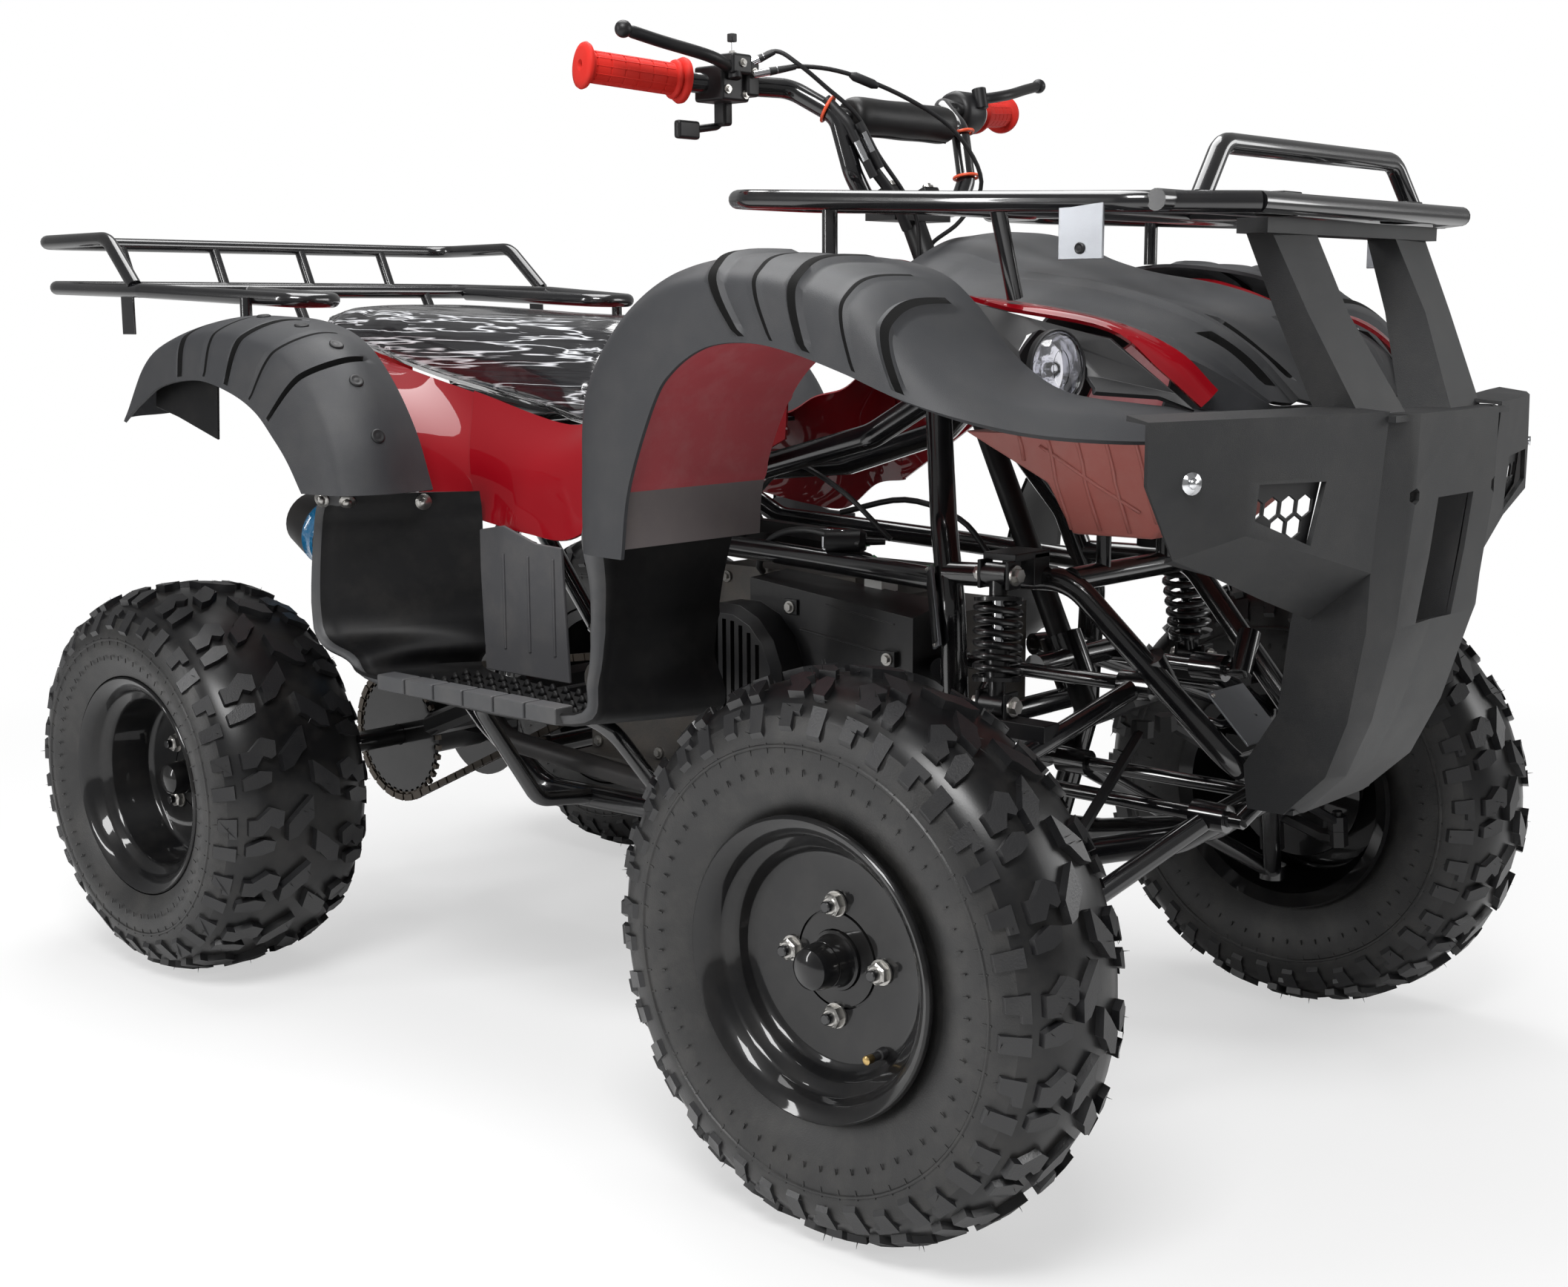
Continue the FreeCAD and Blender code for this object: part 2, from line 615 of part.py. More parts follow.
def frame():
    """Double cradle frame of round tube."""
    solids = []
    for side in (-1, 1):
        def line(points, radius, bend=60):
            return tube([at(side * x, y, z) for x, y, z in points], radius, bend)
        solids.append(line([(26, -800, 392), (34, -700, 322), (92, -520, 275), (112, -420, 262),
                            (125, 225, 250), (165, 300, 340), (150, 420, 420)], frame_tube_radius))
        solids.append(line([(40, -372, 790), (118, -442, 650), (138, -470, 560), (128, -470, 400),
                            (112, -440, 265)], frame_tube_radius))
        solids.append(line([(132, -458, 600), (118, -610, 604), (84, -790, 424), (28, -806, 398)],
                           side_tube_radius))
        solids.append(line([(40, -372, 790), (70, -300, 740), (100, -120, 690), (120, 100, 668),
                            (120, 300, 720), (120, 700, 760)], frame_tube_radius))
        solids.append(line([(150, 420, 420), (135, 520, 560), (120, 640, 752)], side_tube_radius))
        solids.append(line([(130, -462, 590), (128, -250, 600), (126, 20, 610), (122, 160, 678)],
                           side_tube_radius))
        solids.append(line([(62, -790, lower_pivot_height), (62, -450, lower_pivot_height)],
                           pivot_radius, 0))
        solids.append(line([(26, -800, 390), (62, -786, lower_pivot_height)], 9, 0))
        solids.append(line([(58, -460, lower_pivot_height), (122, -450, lower_pivot_height)],
                           side_tube_radius, 0))
        solids.append(line([(74, -712, 492), (74, -430, 492)], pivot_radius, 0))
        solids.append(line([(70, -432, 492), (134, -452, 492)], side_tube_radius, 0))
        solids.append(line([(72, -706, 488), (101, -700, 530)], side_tube_radius, 0))
        solids += shock_fork(shock_ends(side)[0])
        solids.append(rod(at(side * 60, -612, 604), at(side * 60, -612, 650 - fit), 8))
        solids.append(line([(112, -150, 256), (220, -150, 266), (340, -130, 423.2), (340, 110, 423.2),
                            (220, 130, 266), (118, 130, 252)], rack_tube_radius, 40))
        solids.append(box_at(side * 112, side * 188.4, 50, 70, 735, 741))
        solids.append(box_at(side * 112, side * 124, 50, 70, 664, 741))
        solids.append(box_at(side * 112, side * 202, 560, 578, 742, 752))
        solids.append(box_at(side * 190, side * 202, 560, 578, 742, 835.4))
        shelf = block(V(min(0, -side * 62), -21, 14), V(max(0, -side * 62), 21, 22))
        web = block(V(min(-side * 34, -side * 62), -21, -14), V(max(-side * 34, -side * 62), 21, 20))
        shelf = shelf.fuse(web)
        shelf.translate(shock_ends(side)[0])
        solids.append(shelf)
    for x, y, z in ((112, -420, 262), (145, 262, 296), (120, 698, 760),
                    (112, 110, 670), (118, -610, 604), (128, -470, 430), (84, -792, 424)):
        solids.append(rod(at(-x, y, z), at(x, y, z), side_tube_radius))
    for way in (-1, 1):
        ear = block(V(-4, -14, -16), V(4, 14, 30))
        ear.translate(at(way * 22.3, *shock_top))
        solids.append(ear)
    solids.append(rod(at(-24, *shock_top), at(24, *shock_top), 6))
    solids.append(rod(at(-118, shock_top[0], 729), at(118, shock_top[0], 729), side_tube_radius))
    head = at(*column_top)
    foot = at(*column_foot)
    axis = (foot - head).normalize()
    solids.append(rod(head + axis * 175, head + axis * 235, column_radius + 10, 12))
    solids.append(rod(foot - axis * 100, foot - axis * 40, column_radius + 10, 12))
    solids.append(rod(at(-44, -376, 788), at(44, -376, 788), side_tube_radius))
    solids.append(rod(at(-74, -535, 497), at(74, -535, 497), side_tube_radius))
    return joined(solids).cut(bore(head + axis * 100, foot, column_radius + fit))


def engine():
    """Air cooled single with its belt case on the left and the gear case behind."""
    crankcase = block(at(-88, -290, 330), at(84, -70, 575))
    cylinder = block(at(-66, -425, 385), at(66, -290, 545))
    belt_case = drum([(0, 78), (70, 78), (78, 66)], at(84, -180, 430), 16)
    rear_case = drum([(0, 70), (70, 70), (78, 58)], at(84, 150, 400), 16)
    bridge = block(at(84, -180, 345), at(150, 150, 475))
    gear_case = block(at(-70, -72, 300), at(84, 190, 470))
    sump = loft([level(262, [(-80, -150), (70, -150), (70, 170), (-80, 170)]),
                 level(302, [(-100, -210), (84, -210), (84, 190), (-100, 190)])])
    output = drum([(chain_x - 4, drive_sprocket_radius), (-69, drive_sprocket_radius)],
                  at(0, 160, 400), 12)
    return joined([crankcase, cylinder, belt_case, rear_case, bridge, gear_case, sump, output])


def fan_shroud():
    """Black cooling shroud round the cylinder, with the slotted round fan cover on the right."""
    middle = at(-154, -185, 464)
    cover = drum([(0, 84), (-38, 84), (-48, 74)], middle, wheel_facets)
    body = loft([across(-425, [(-150, 392), (-90, 384), (-90, 560), (-150, 548)]),
                 across(-185, [(-156, 384), (-90, 384), (-90, 578), (-156, 574)])])
    shroud = joined([cover, body])
    for k in range(-4, 5):
        high = math.sqrt(66 ** 2 - (13 * k) ** 2)
        slot = block(V(-60, 13 * k - 4, -high), V(-42, 13 * k + 2, high))
        slot.translate(middle)
        shroud = shroud.cut(slot)
    return shroud


def carburettor():
    """Carburettor with its bowl and slide top, the intake bend and the air box."""
    body = rod(at(-20, -60, 612), at(-20, 40, 622), 26, 10)
    bowl = rod(at(-20, -30, 582), at(-20, -30, 612), 22, 8)
    top = rod(at(-20, -20, 630), at(-20, -20, 668), 24, 8)
    intake = tube([at(-20, -220, 575 + fit), at(-20, -220, 606), at(-20, -60, 612)], 16, 20)
    airbox = loft([across(38, [(-60, 566), (60, 566), (60, 640), (-60, 640)]),
                   across(200, [(-70, 566), (70, 566), (66, 645), (-66, 645)])])
    return joined([body, bowl, top, intake, airbox])


def exhaust():
    """Header pipe under the engine and the silencer beside the rear frame."""
    pipe = tube([at(-40, -395, 385 - fit), at(-40, -395, 336), at(-140, -290, 304), at(-150, 0, 296),
                 at(-200, 220, 330), at(-205, 330, 470)], 14, 60)
    can = tube([at(-205, 300, 500), at(-202, 330, 508), at(-198, 600, 582), at(-196, 640, 592)],
               48, sides=12)
    tail = rod(at(-196, 636, 591), at(-194, 668, 599), 16, 8)
    return joined([pipe, can, tail])


def swingarm():
    """Rear arms with the axle's bearing carrier; the chain runs inside the right arm."""
    carrier = V(0, rear_axle_y, rear_tyre_radius)
    solids = [rod(at(-128, 262, 385), at(128, 262, 385), 16)]
    for side in (-1, 1):
        solids.append(rod(at(side * 118, 262, 385), at(side * 118, 478, 300), 16))
    solids.append(rod(at(-126, 470, 302), at(126, 470, 302), 16))
    solids.append(block(V(-34, at(0, shock_foot[0], 0).y, rear_tyre_radius + 10),
                        V(34, rear_axle_y, rear_tyre_radius + 48)))
    solids.append(rod(carrier - V(60, 0, 0), carrier + V(60, 0, 0), 38, 16))
    for way in (-1, 1):
        ear = block(V(-4, -14, 0), V(4, 14, 40))
        ear.translate(at(way * 22.3, shock_foot[0], 304))
        solids.append(ear)
    solids.append(rod(at(-24, *shock_foot), at(24, *shock_foot), 6))
    hole = bore(carrier - V(70, 0, 0), carrier + V(90, 0, 0), axle_radius + fit)
    return joined(solids).cut(hole)


def rear_shock():
    """Single rear coil spring unit, with its eyes across the bike."""
    top = at(0, *shock_top)
    foot = at(0, *shock_foot)
    down = (foot - top).normalize()
    length = top.distanceToPoint(foot)
    turns = 6
    first = 44
    rise = (length - 2 * first - 10) / turns
    pieces = [rod(top - V(18, 0, 0), top + V(18, 0, 0), 13), rod(top, foot, 12, 8),
              rod(foot - V(18, 0, 0), foot + V(18, 0, 0), 13)]
    for k in range(turns + 1):
        middle = top + down * (first + 5 + k * rise)
        pieces.append(loft([[p + down * h for p in spring_ring(middle, down, r)]
                            for h, r in ((-5, 22), (-1, 32), (1, 32), (5, 22))]))
    body = joined(pieces)
    for eye in (top, foot):
        body = body.cut(rod(eye - V(40, 0, 0), eye + V(40, 0, 0), 6 + fit))
    return body


def spring_ring(middle, down, radius):
    side = V(1, 0, 0)
    ahead = side.cross(down)
    turns = [2 * math.pi * (k + 0.5) / tube_sides for k in range(tube_sides)]
    return [middle + side * (radius * math.cos(t)) + ahead * (radius * math.sin(t)) for t in turns]


def chain():
    """Drive chain round both sprockets: a roller band with a link plate at every other pitch."""
    front = at(chain_x, 160, 400)
    rear = V(chain_x, rear_axle_y, rear_tyre_radius)
    tilt = math.atan2(rear.z - front.z, rear.y - front.y)
    first_radius = drive_sprocket_radius + 2
    second_radius = sprocket_radius + 2
    path = []
    for centre, radius, first, steps in ((front, first_radius, 90, 6), (rear, second_radius, -90, 16)):
        for k in range(steps + 1):
            a = tilt + math.radians(first + 180 * k / steps)
            way = V(0, math.cos(a), math.sin(a))
            path.append((centre + way * radius, centre + way * (radius + chain_height)))
    half = V(chain_width / 4, 0, 0)
    rings = [[low - half, high - half, high + half, low + half] for low, high in path]
    pieces = [loft(rings, closed=True)]
    run = front.distanceToPoint(rear)
    plate = run / (chain_links // 2)
    along = (rear - front).normalize()
    up = V(0, -along.z, along.y)
    wide = V(chain_width / 2, 0, 0)
    for radius_pair, way in (((first_radius, second_radius), 1), ((first_radius, second_radius), -1)):
        for k in range(chain_links // 2):
            start = (k + 0.25) / (chain_links // 2)
            low = radius_pair[0] + (radius_pair[1] - radius_pair[0]) * start
            middle = front + along * (run * start) + up * (way * (low + chain_height / 2))
            ring = [middle - along * (plate / 4) - wide, middle + along * (plate / 4) - wide,
                    middle + along * (plate / 4) + wide, middle - along * (plate / 4) + wide]
            pieces.append(loft([[p - up * (chain_height / 2 - 1) for p in ring],
                                [p + up * (chain_height / 2 - 1) for p in ring]]))
    return [joined(pieces)]

# Bodywork

def hood_rows():
    return [(-400, ((-251, 884), (-200, 903), (-130, 934), (-60, 960), (0, 965))),
            (-470, ((-259, 894), (-205, 913), (-140, 940), (-62, 963), (0, 967))),
            (-530, ((-262.7, 899), (-205, 913), (-135, 926), (-60, 940), (0, 943))),
            (-640, ((-253, 892), (-195, 903), (-125, 910), (-55, 903), (0, 898))),
            (-730, ((-240.7, 875), (-180, 882), (-110, 884), (-50, 878), (0, 872))),
            (-800, ((-216, 840), (-160, 856), (-105, 848), (-48, 833), (0, 828))),
            (-850, ((-146, 796), (-125, 804), (-95, 798), (-50, 792), (0, 790)))]


def nose_cowl():
    """Textured hood: a ridged shell from the steering head to the nose, with four vents."""
    hood = moulding([across(y, full_width(half)) for y, half in hood_rows()], -panel_wall)
    for side in (-1, 1):
        for x0, x1, y0, y1 in ((112, 134, -834, -768), (54, 78, -822, -742)):
            hood = hood.cut(box_at(side * x0, side * x1, y0, y1, 760, 960))
    return hood


def front_shell():
    """Glossy strip between the hood, the arch and the headlight, down to the nose."""
    def strip():
        rows = [[(-316, -330, 892), (-276, -330, 902), (-246, -330, 876)],
                [(-316, -420, 916), (-284, -420, 914), (-254, -420, 890)],
                [(-316, -500, 920), (-288, -500, 910), (-264, -500, 898)],
                [(-300, -565, 908), (-284, -560, 903), (-264, -555, 899)],
                [(-280, -640, 886), (-272, -635, 890), (-256, -630, 892)],
                [(-262, -742, 866), (-255, -738, 872), (-242, -730, 874)],
                [(-248, -790, 828), (-240, -794, 838), (-222, -792, 846)],
                [(-230, -824, 794), (-222, -828, 801), (-204, -826, 809)]]
        return moulding([[at(*p) for p in row] for row in rows], -panel_wall)
    return both_sides(strip)


def arch_section(outline, lip, out, inside, inner=None):
    """A section of a wheel arch band from its inner edge over the shoulder to its lip."""
    y, z = outline
    lip_y, lip_z = lip

    def between(x, share):
        return at(x, y + (lip_y - y) * share, z + (lip_z - z) * share)
    first = at(inside, *(inner or outline))
    return [first, between(-out + 72, 0), between(-out + 24, 0.18), between(-out + 7, 0.42),
            at(-out, lip_y, lip_z)]


def front_arches():
    """Wheel arch bands, which run on round the headlights to the nose."""
    rows = [((-243.5, 640), (-338, 640), 503, -427), ((-240.5, 716), (-350, 712), 503, -427),
            ((-240, 800), (-385, 793), 503, -300), ((-286, 870), (-412, 826), 503, -300),
            ((-355, 916), (-456, 849), 503, -300), ((-440, 933), (-508, 854), 503, -300),
            ((-520, 929), (-562, 846), 503, -304), ((-590, 914), (-628, 827), 502, -318),
            ((-640, 884), (-686, 805), 496, -330), ((-690, 838), (-738, 786), 470, -338),
            ((-735, 806), (-778, 773), 424, -322), ((-782, 794), (-820, 766), 356, -272),
            ((-828, 786), (-850, 764), 280, -214)]

    def arch():
        return moulding([arch_section(*row) for row in rows], -panel_wall)
    return both_sides(arch)


def rear_arches():
    """Rear wheel arch bands, with the inner edge further forward along the side panel."""
    rows = [((172, 669), (259, 669), 470, -330, (184, 669)),
            ((190, 738), (286, 706), 470, -330, (213, 738)),
            ((226, 800), (314, 734), 470, -330, (256, 800)),
            ((285, 850), (350, 764), 470, -330, (308, 846)),
            ((370, 872), (402, 786), 470, -330, (376, 870)),
            ((466, 880), (474, 800), 470, -330, (466, 878)),
            ((568, 864), (556, 792), 470, -330, (562, 864)),
            ((630, 832), (612, 770), 468, -330, (620, 834)),
            ((680, 752), (672, 742), 462, -330, (672, 760))]

    def arch():
        return moulding([arch_section(*row) for row in rows], -panel_wall)
    return both_sides(arch)


def front_liners():
    """Inner wall of the front wheel arch, from the foot guard to the crown."""
    profile = [(-322, 648), (-326, 694), (-342, 745), (-368, 795), (-400, 830), (-448, 858)]

    def liner():
        return moulding([[at(x, y, z) for y, z in profile] for x in (-499.2, -290)], -panel_wall)
    return both_sides(liner)


def nose_box():
    """Tapering tub under the hood, ahead of the steering column."""
    return loft([level(650, [(-104, -600), (104, -600), (96, -694), (-96, -694)]),
                 level(706, [(-138, -590), (138, -590), (122, -752), (-122, -752)]),
                 level(758, [(-162, -500), (162, -500), (146, -790), (-146, -790)])])


lamp_centre = (-300, -712, 829)
lamp_way = V(-0.52, -0.85, 0.06)


def lamp_ring(forward, grow):
    """An oval ring round the lamp's axis, taller than it is wide."""
    axis = V(lamp_way).normalize()
    side = axis.cross(V(0, 0, 1)).normalize()
    up = side.cross(axis)
    middle = at(*lamp_centre) + axis * forward
    turns = [2 * math.pi * k / 12 for k in range(12)]
    return [middle + side * ((28 + grow) * math.cos(t)) + up * ((37 + grow) * math.sin(t)) for t in turns]


def headlights():
    """Oval lamp with a domed lens."""
    def lamp():
        return loft([lamp_ring(-34, -12), lamp_ring(-6, 0), lamp_ring(2, 0), lamp_ring(10, -12)])
    return both_sides(lamp)


def headlight_bezels():
    """Dark recess round each lamp, between the arch and the red strip."""
    def cheek():
        rows = [[(-306, -585, 896), (-290, -610, 886), (-272, -660, 874), (-262, -746, 857)],
                [(-326, -625, 866), (-304, -650, 858), (-274, -705, 848), (-252, -784, 825)],
                [(-336, -670, 832), (-306, -690, 824), (-270, -742, 818), (-244, -806, 806)],
                [(-332, -722, 811), (-296, -756, 805), (-258, -794, 801), (-240, -822, 790)]]
        panel = moulding([[at(*p) for p in row] for row in rows], panel_wall)
        return panel.cut(loft([lamp_ring(-80, lamp_gap), lamp_ring(60, lamp_gap)]))
    return both_sides(cheek)


def tank_cover():
    """Red centre pod from the steering head to the seat, with a side panel down each side."""
    pod_rows = [(-262, ((-176, 740), (-160, 850), (-84, 925), (0, 940))),
                (-190, ((-196, 700), (-176, 815), (-92, 895), (0, 908))),
                (-112, ((-222, 660), (-196, 790), (-100, 862), (0, 876)))]
    pod = moulding([across(y, full_width(half)) for y, half in pod_rows], -panel_wall)
    pieces = [pod]
    for side in (-1, 1):
        rows = [[(-222, -114, 660), (-196, -114, 790), (-164, -112, 824)],
                [(-240, -52, 650), (-210, -60, 745), (-178, -50, 782)],
                [(-256, 16, 612), (-226, 10, 700), (-184, 10, 768)],
                [(-258, 90, 614), (-236, 100, 690), (-184, 90, 742)],
                [(-259, 182, 626), (-244, 214, 700), (-184, 276, 780)]]
        grid = [[at(-side * x, y, z) for x, y, z in row] for row in rows]
        pieces.append(moulding(grid, side * panel_wall))
    return joined(pieces)


def rear_shell():
    """Red shell under the seat, from the side panel back into the rear arch."""
    rows = [[(-259, 183.2, 626), (-244, 215.2, 700), (-184, 277.2, 780)],
            [(-300, 262, 669), (-272, 330, 752), (-186, 390, 804)],
            [(-326, 320, 790), (-280, 420, 824), (-186, 480, 824)],
            [(-326, 420, 850), (-280, 520, 842), (-184, 570, 842)],
            [(-326, 560, 846), (-270, 640, 836), (-150, 700, 832)]]

    def panel():
        return moulding([[at(*p) for p in row] for row in rows], panel_wall)
    return both_sides(panel)


def seat():
    """Straddle seat: narrow and pointed in front, flat and wide behind."""
    rows = [(-96, 66, 850, 870), (-20, 128, 788, 872), (50, 158, 755, 872), (100, 164, 742, 874),
            (200, 166, 762, 876), (380, 168, 794, 882), (520, 166, 826, 890), (610, 160, 852, 894),
            (672, 140, 868, 888)]
    rings = []
    for y, half, low, high in rows:
        middle = (low + high) / 2
        rings.append(across(y, [(-half, low), (-half - 5, middle), (-half + 14, high - 6), (0, high),
                                (half - 14, high - 6), (half + 5, middle), (half, low), (0, low + 4)]))
    return loft(rings)


def footwells():
    """Foot floor with its blocked sill, the front guard and the rear guard, as one moulding."""
    profiles = [(-432, ((-226, 697), (-200, 650), (-211, 586), (-202, 494), (-161, 450), (163, 450),
                        (237, 466), (301, 496), (290, 628), (269, 670))),
                (-420, ((-236, 692), (-224, 650), (-226, 586), (-212, 494), (-168, 440), (160, 440),
                        (226, 470), (288, 500), (280, 628), (258, 664))),
                (-350, ((-262, 680), (-250, 650), (-244, 586), (-232, 500), (-200, 438), (160, 438),
                        (196, 474), (226, 508), (220, 628), (212, 664))),
                (-272, ((-276, 668), (-264, 640), (-246, 580), (-234, 510), (-222, 436), (140, 436),
                        (158, 470), (162, 510), (162, 628), (166, 664)))]

    def tray():
        grid = [[at(x, y, z) for y, z in line] for x, line in profiles]
        pieces = [moulding(grid, -panel_wall)]
        pieces.append(loft([[at(x, y, z) for y, z in ((4, 434), (160, 434), (168, 618), (14, 606))]
                            for x in (-275, -271)]))
        length = (163 + 161) / sill_blocks
        for k in range(sill_blocks):
            start = -160 + k * length
            pieces.append(box_at(-440, -414, start + 1, start + length - 2, 438, 455))
        return joined(pieces)
    return both_sides(tray)


def mud_flaps():
    """Black flap inside the tail of each rear arch."""
    def flap():
        grid = [[at(-444, y, z) for y, z in ((470, 724), (560, 750), (614, 762))],
                [at(-440, y, z) for y, z in ((466, 859), (556, 844.5), (614, 809.5))]]
        return moulding(grid, panel_wall)
    return both_sides(flap)


def tail_lamp():
    """Tail lamp and its bracket on the rear cross tube."""
    lamp = box_at(-60, 60, 724, 748, 790, 830)
    arm = box_at(-20, 20, 709.6, 726, 752, 800)
    return joined([lamp, arm])


def wing_y(x, z):
    """The face of the bumper's wing lies in one plane, from the column out to its corner."""
    return -950 + (abs(x) - 130) * 0.217 + (735 - z) * 0.1


def bumper_wing():
    """Right half of the bumper's beam: top flange, windowed face, side return and underside."""
    rows = []
    for z, low in ((787, 0), (735, 0), (668, 1)):
        corner = (-305, wing_y(305, 735), z + 22 * low)
        end = (-400 + 46 * low, -870, z + 2 * low)
        rows.append([(-126, wing_y(130, z), z - 26 * low), (-218, wing_y(218, z), z), corner, end])
    top = [(x, y + 44, z + 2) for x, y, z in rows[0][:3]] + [(-392, -846, 789)]
    under = [(-126, -884, 594), (-218, -884, 622), (-300, -878, 652), (-346, -860, 668)]
    grid = [[at(*p) for p in row] for row in [top] + rows + [under]]
    return moulding(grid, -bumper_wall)


def bumper_column():
    """Middle of the bumper: a channel from the beam down to the skid, with a slot in its face."""
    rows = []
    for z, rear, side, front, middle in ((787, (130, -906), (130, -950), (89, -972), -973.5),
                                         (706, (130, -894), (130, -951), (90, -971), -971),
                                         (583, (124, -866), (124, -944), (88, -957), -952),
                                         (490, (105, -846), (105, -920), (78, -932), -924),
                                         (430, (92, -803.6), (92, -893), (72, -905), -897),
                                         (384, (86, -806), (86, -846), (66, -858), -858)):
        half = [(-rear[0], rear[1]), (-side[0], side[1]), (-front[0], front[1]), (0, middle)]
        rows.append(level(z, half + [(-x, y) for x, y in half[-2::-1]]))
    channel = moulding(rows, -bumper_wall)
    channel = channel.cut(box_at(-40, 40, -990, -900, 583, 706))
    pieces = [channel]
    for side in (-1, 1):
        pieces.append(loft([level(z, [(side * 40, y0), (side * 45, y0), (side * 45, y1), (side * 40, y1)])
                            for z, y0, y1 in ((575, -948, -920), (712, -966, -936))]))
    pieces.append(box_at(-128, 128, -966, -908, 780, 786))
    pieces.append(box_at(-84, 84, -856, -824, 384, 389))
    return joined(pieces)


def bumper_pillar():
    """Pillar from the beam up to the rack's cross bar, leaning back and out."""
    return loft([level(784, [(-50, -940), (-134, -934), (-138, -892), (-50, -886)]),
                 level(879, [(-84, -893), (-154, -888), (-156, -856), (-84, -850)]),
                 level(962, [(-84, -853), (-164, -849), (-166, -824), (-84, -824)])])


def front_bumper():
    """Moulded bumper: windowed wings, two pillars up to the rack and the skid below."""
    wing = bumper_wing()
    window = loft([across(y, [(-204, 730), (-292, 732), (-296, 700), (-214, 672)])
                   for y in (-1000, -880)])
    wing = wing.cut(window)
    sides = [wing, bumper_pillar()]
    parts = [bumper_column()]
    for piece in sides:
        parts += [piece, piece.mirror(V(0, 0, 0), V(1, 0, 0))]
    parts.append(box_at(-180, 180, -858, -826, 952, 966))
    bumper = joined(parts)
    for side in (-1, 1):
        bumper = bumper.cut(rod(at(side * 89, -990, 710), at(side * 89, -950, 710), 8))
    return bumper


def bumper_grilles():
    """Honeycomb plates behind the windows of the wings."""
    def grille():
        back = bumper_wall - grille_seat
        corners = [(-200, 738), (-302, 738), (-302, 692), (-210, 664)]
        plate = loft([[at(x, wing_y(x, z) + d, z) for x, z in corners]
                      for d in (back, back + grille_wall)])
        width = grille_cell * math.sqrt(3)
        for row in range(5):
            for column in range(6):
                x = -196 - width * (column + 0.5 * (row % 2))
                z = 746 - 1.5 * grille_cell * row
                low = 692 - 0.304 * (x + 302)
                if not (-288 < x < -214 and low + grille_cell < z < 738 - grille_cell):
                    continue
                turns = [math.radians(60 * k + 30) for k in range(6)]
                size = grille_cell - grille_rib / math.sqrt(3)
                ring = [(x + size * math.cos(t), z + size * math.sin(t)) for t in turns]
                plate = plate.cut(loft([across(y, ring) for y in (-960, -880)]))
        return plate
    return both_sides(grille)


def front_rack():
    """Tubular front rack: rim tube, cross tubes, hoop, posts and lamp tabs."""
    r = rack_tube_radius
    rim_path = [at(-215, -868, 978), at(-300, -790, 978), at(-310, -600, 985), at(-310, -330, 998),
                at(-285, -285, 1000), at(-160, -285, 1000), at(-120, -400, 996),
                at(120, -400, 996), at(160, -285, 1000), at(285, -285, 1000),
                at(310, -330, 998), at(310, -600, 985),
                at(300, -790, 978), at(215, -868, 978)]
    solids = [tube(rim_path, r, 40)]
    solids.append(tube([at(-222, -812, 984), at(-178, -807, 1035), at(178, -807, 1035),
                        at(222, -812, 984)], r, 30))
    solids.append(rod(at(-298, -812, 979), at(298, -812, 979), r))
    solids.append(rod(at(-308, -600, 985), at(308, -600, 985), r))
    solids.append(rod(at(-216, -867, 978), at(216, -867, 978), r))
    for x in (-105, 105):
        solids.append(rod(at(x, -866, 978), at(x, -404, 996), rack_wire_radius))
    for side in (-1, 1):
        solids.append(rod(at(side * 303, -436, 937.4), at(side * 303, -436, 993), rack_wire_radius))
        solids.append(rod(at(side * 268, -640, 894.5), at(side * 300, -640, 984), rack_wire_radius))
    rack = joined(solids)
    for side in (-1, 1):
        tab = block(V(-lamp_tab_wall / 2, -24, -50), V(lamp_tab_wall / 2, 24, 0))
        tab.translate(at(side * 310, -742, 978))
        hole = at(side * 310, -742, 938)
        rack = rack.fuse(tab).cut(rod(hole - V(8, 0, 0), hole + V(8, 0, 0), lamp_tab_hole))
    return rack


def rear_rack():
    """Tubular rear rack: raised side and rear rails over a flat frame with two prongs."""
    r = rack_tube_radius
    rear = half_base + station_rear - r
    rail = [at(-373, 778, 922), at(-368, 852, 988), at(-375, rear, 987), at(375, rear, 987),
            at(368, 852, 988), at(373, 778, 922)]
    base = [at(-200, 760, 912), at(-236, 491, 900), at(-308, 491, 900), at(-373, 760, 915),
            at(-378, 1010, 922), at(378, 1010, 922), at(373, 760, 915), at(308, 491, 900),
            at(236, 491, 900), at(200, 760, 912)]
    solids = [tube(rail, r, 40), tube(base, r, 34)]
    solids.append(rod(at(-373, 768, 915), at(373, 768, 915), r))
    for x in (-240, -80, 80, 240):
        solids.append(rod(at(x, 768, 915), at(x, 1010, 922), rack_wire_radius))
        solids.append(rod(at(x, 1010, 922), at(x, rear, 987), rack_wire_radius))
    for side in (-1, 1):
        solids.append(rod(at(side * 338, 560, 866.8), at(side * 338, 560, 904), rack_wire_radius))
        solids.append(tube([at(side * 120, 698, 776), at(side * 120, 730, 850),
                            at(side * 120, 768, 915)], rack_wire_radius))
        tab = block(V(-lamp_tab_wall / 2, -16, -62), V(lamp_tab_wall / 2, 16, 0))
        tab.translate(at(side * 375, 795, 917))
        solids.append(tab)
    return joined(solids)


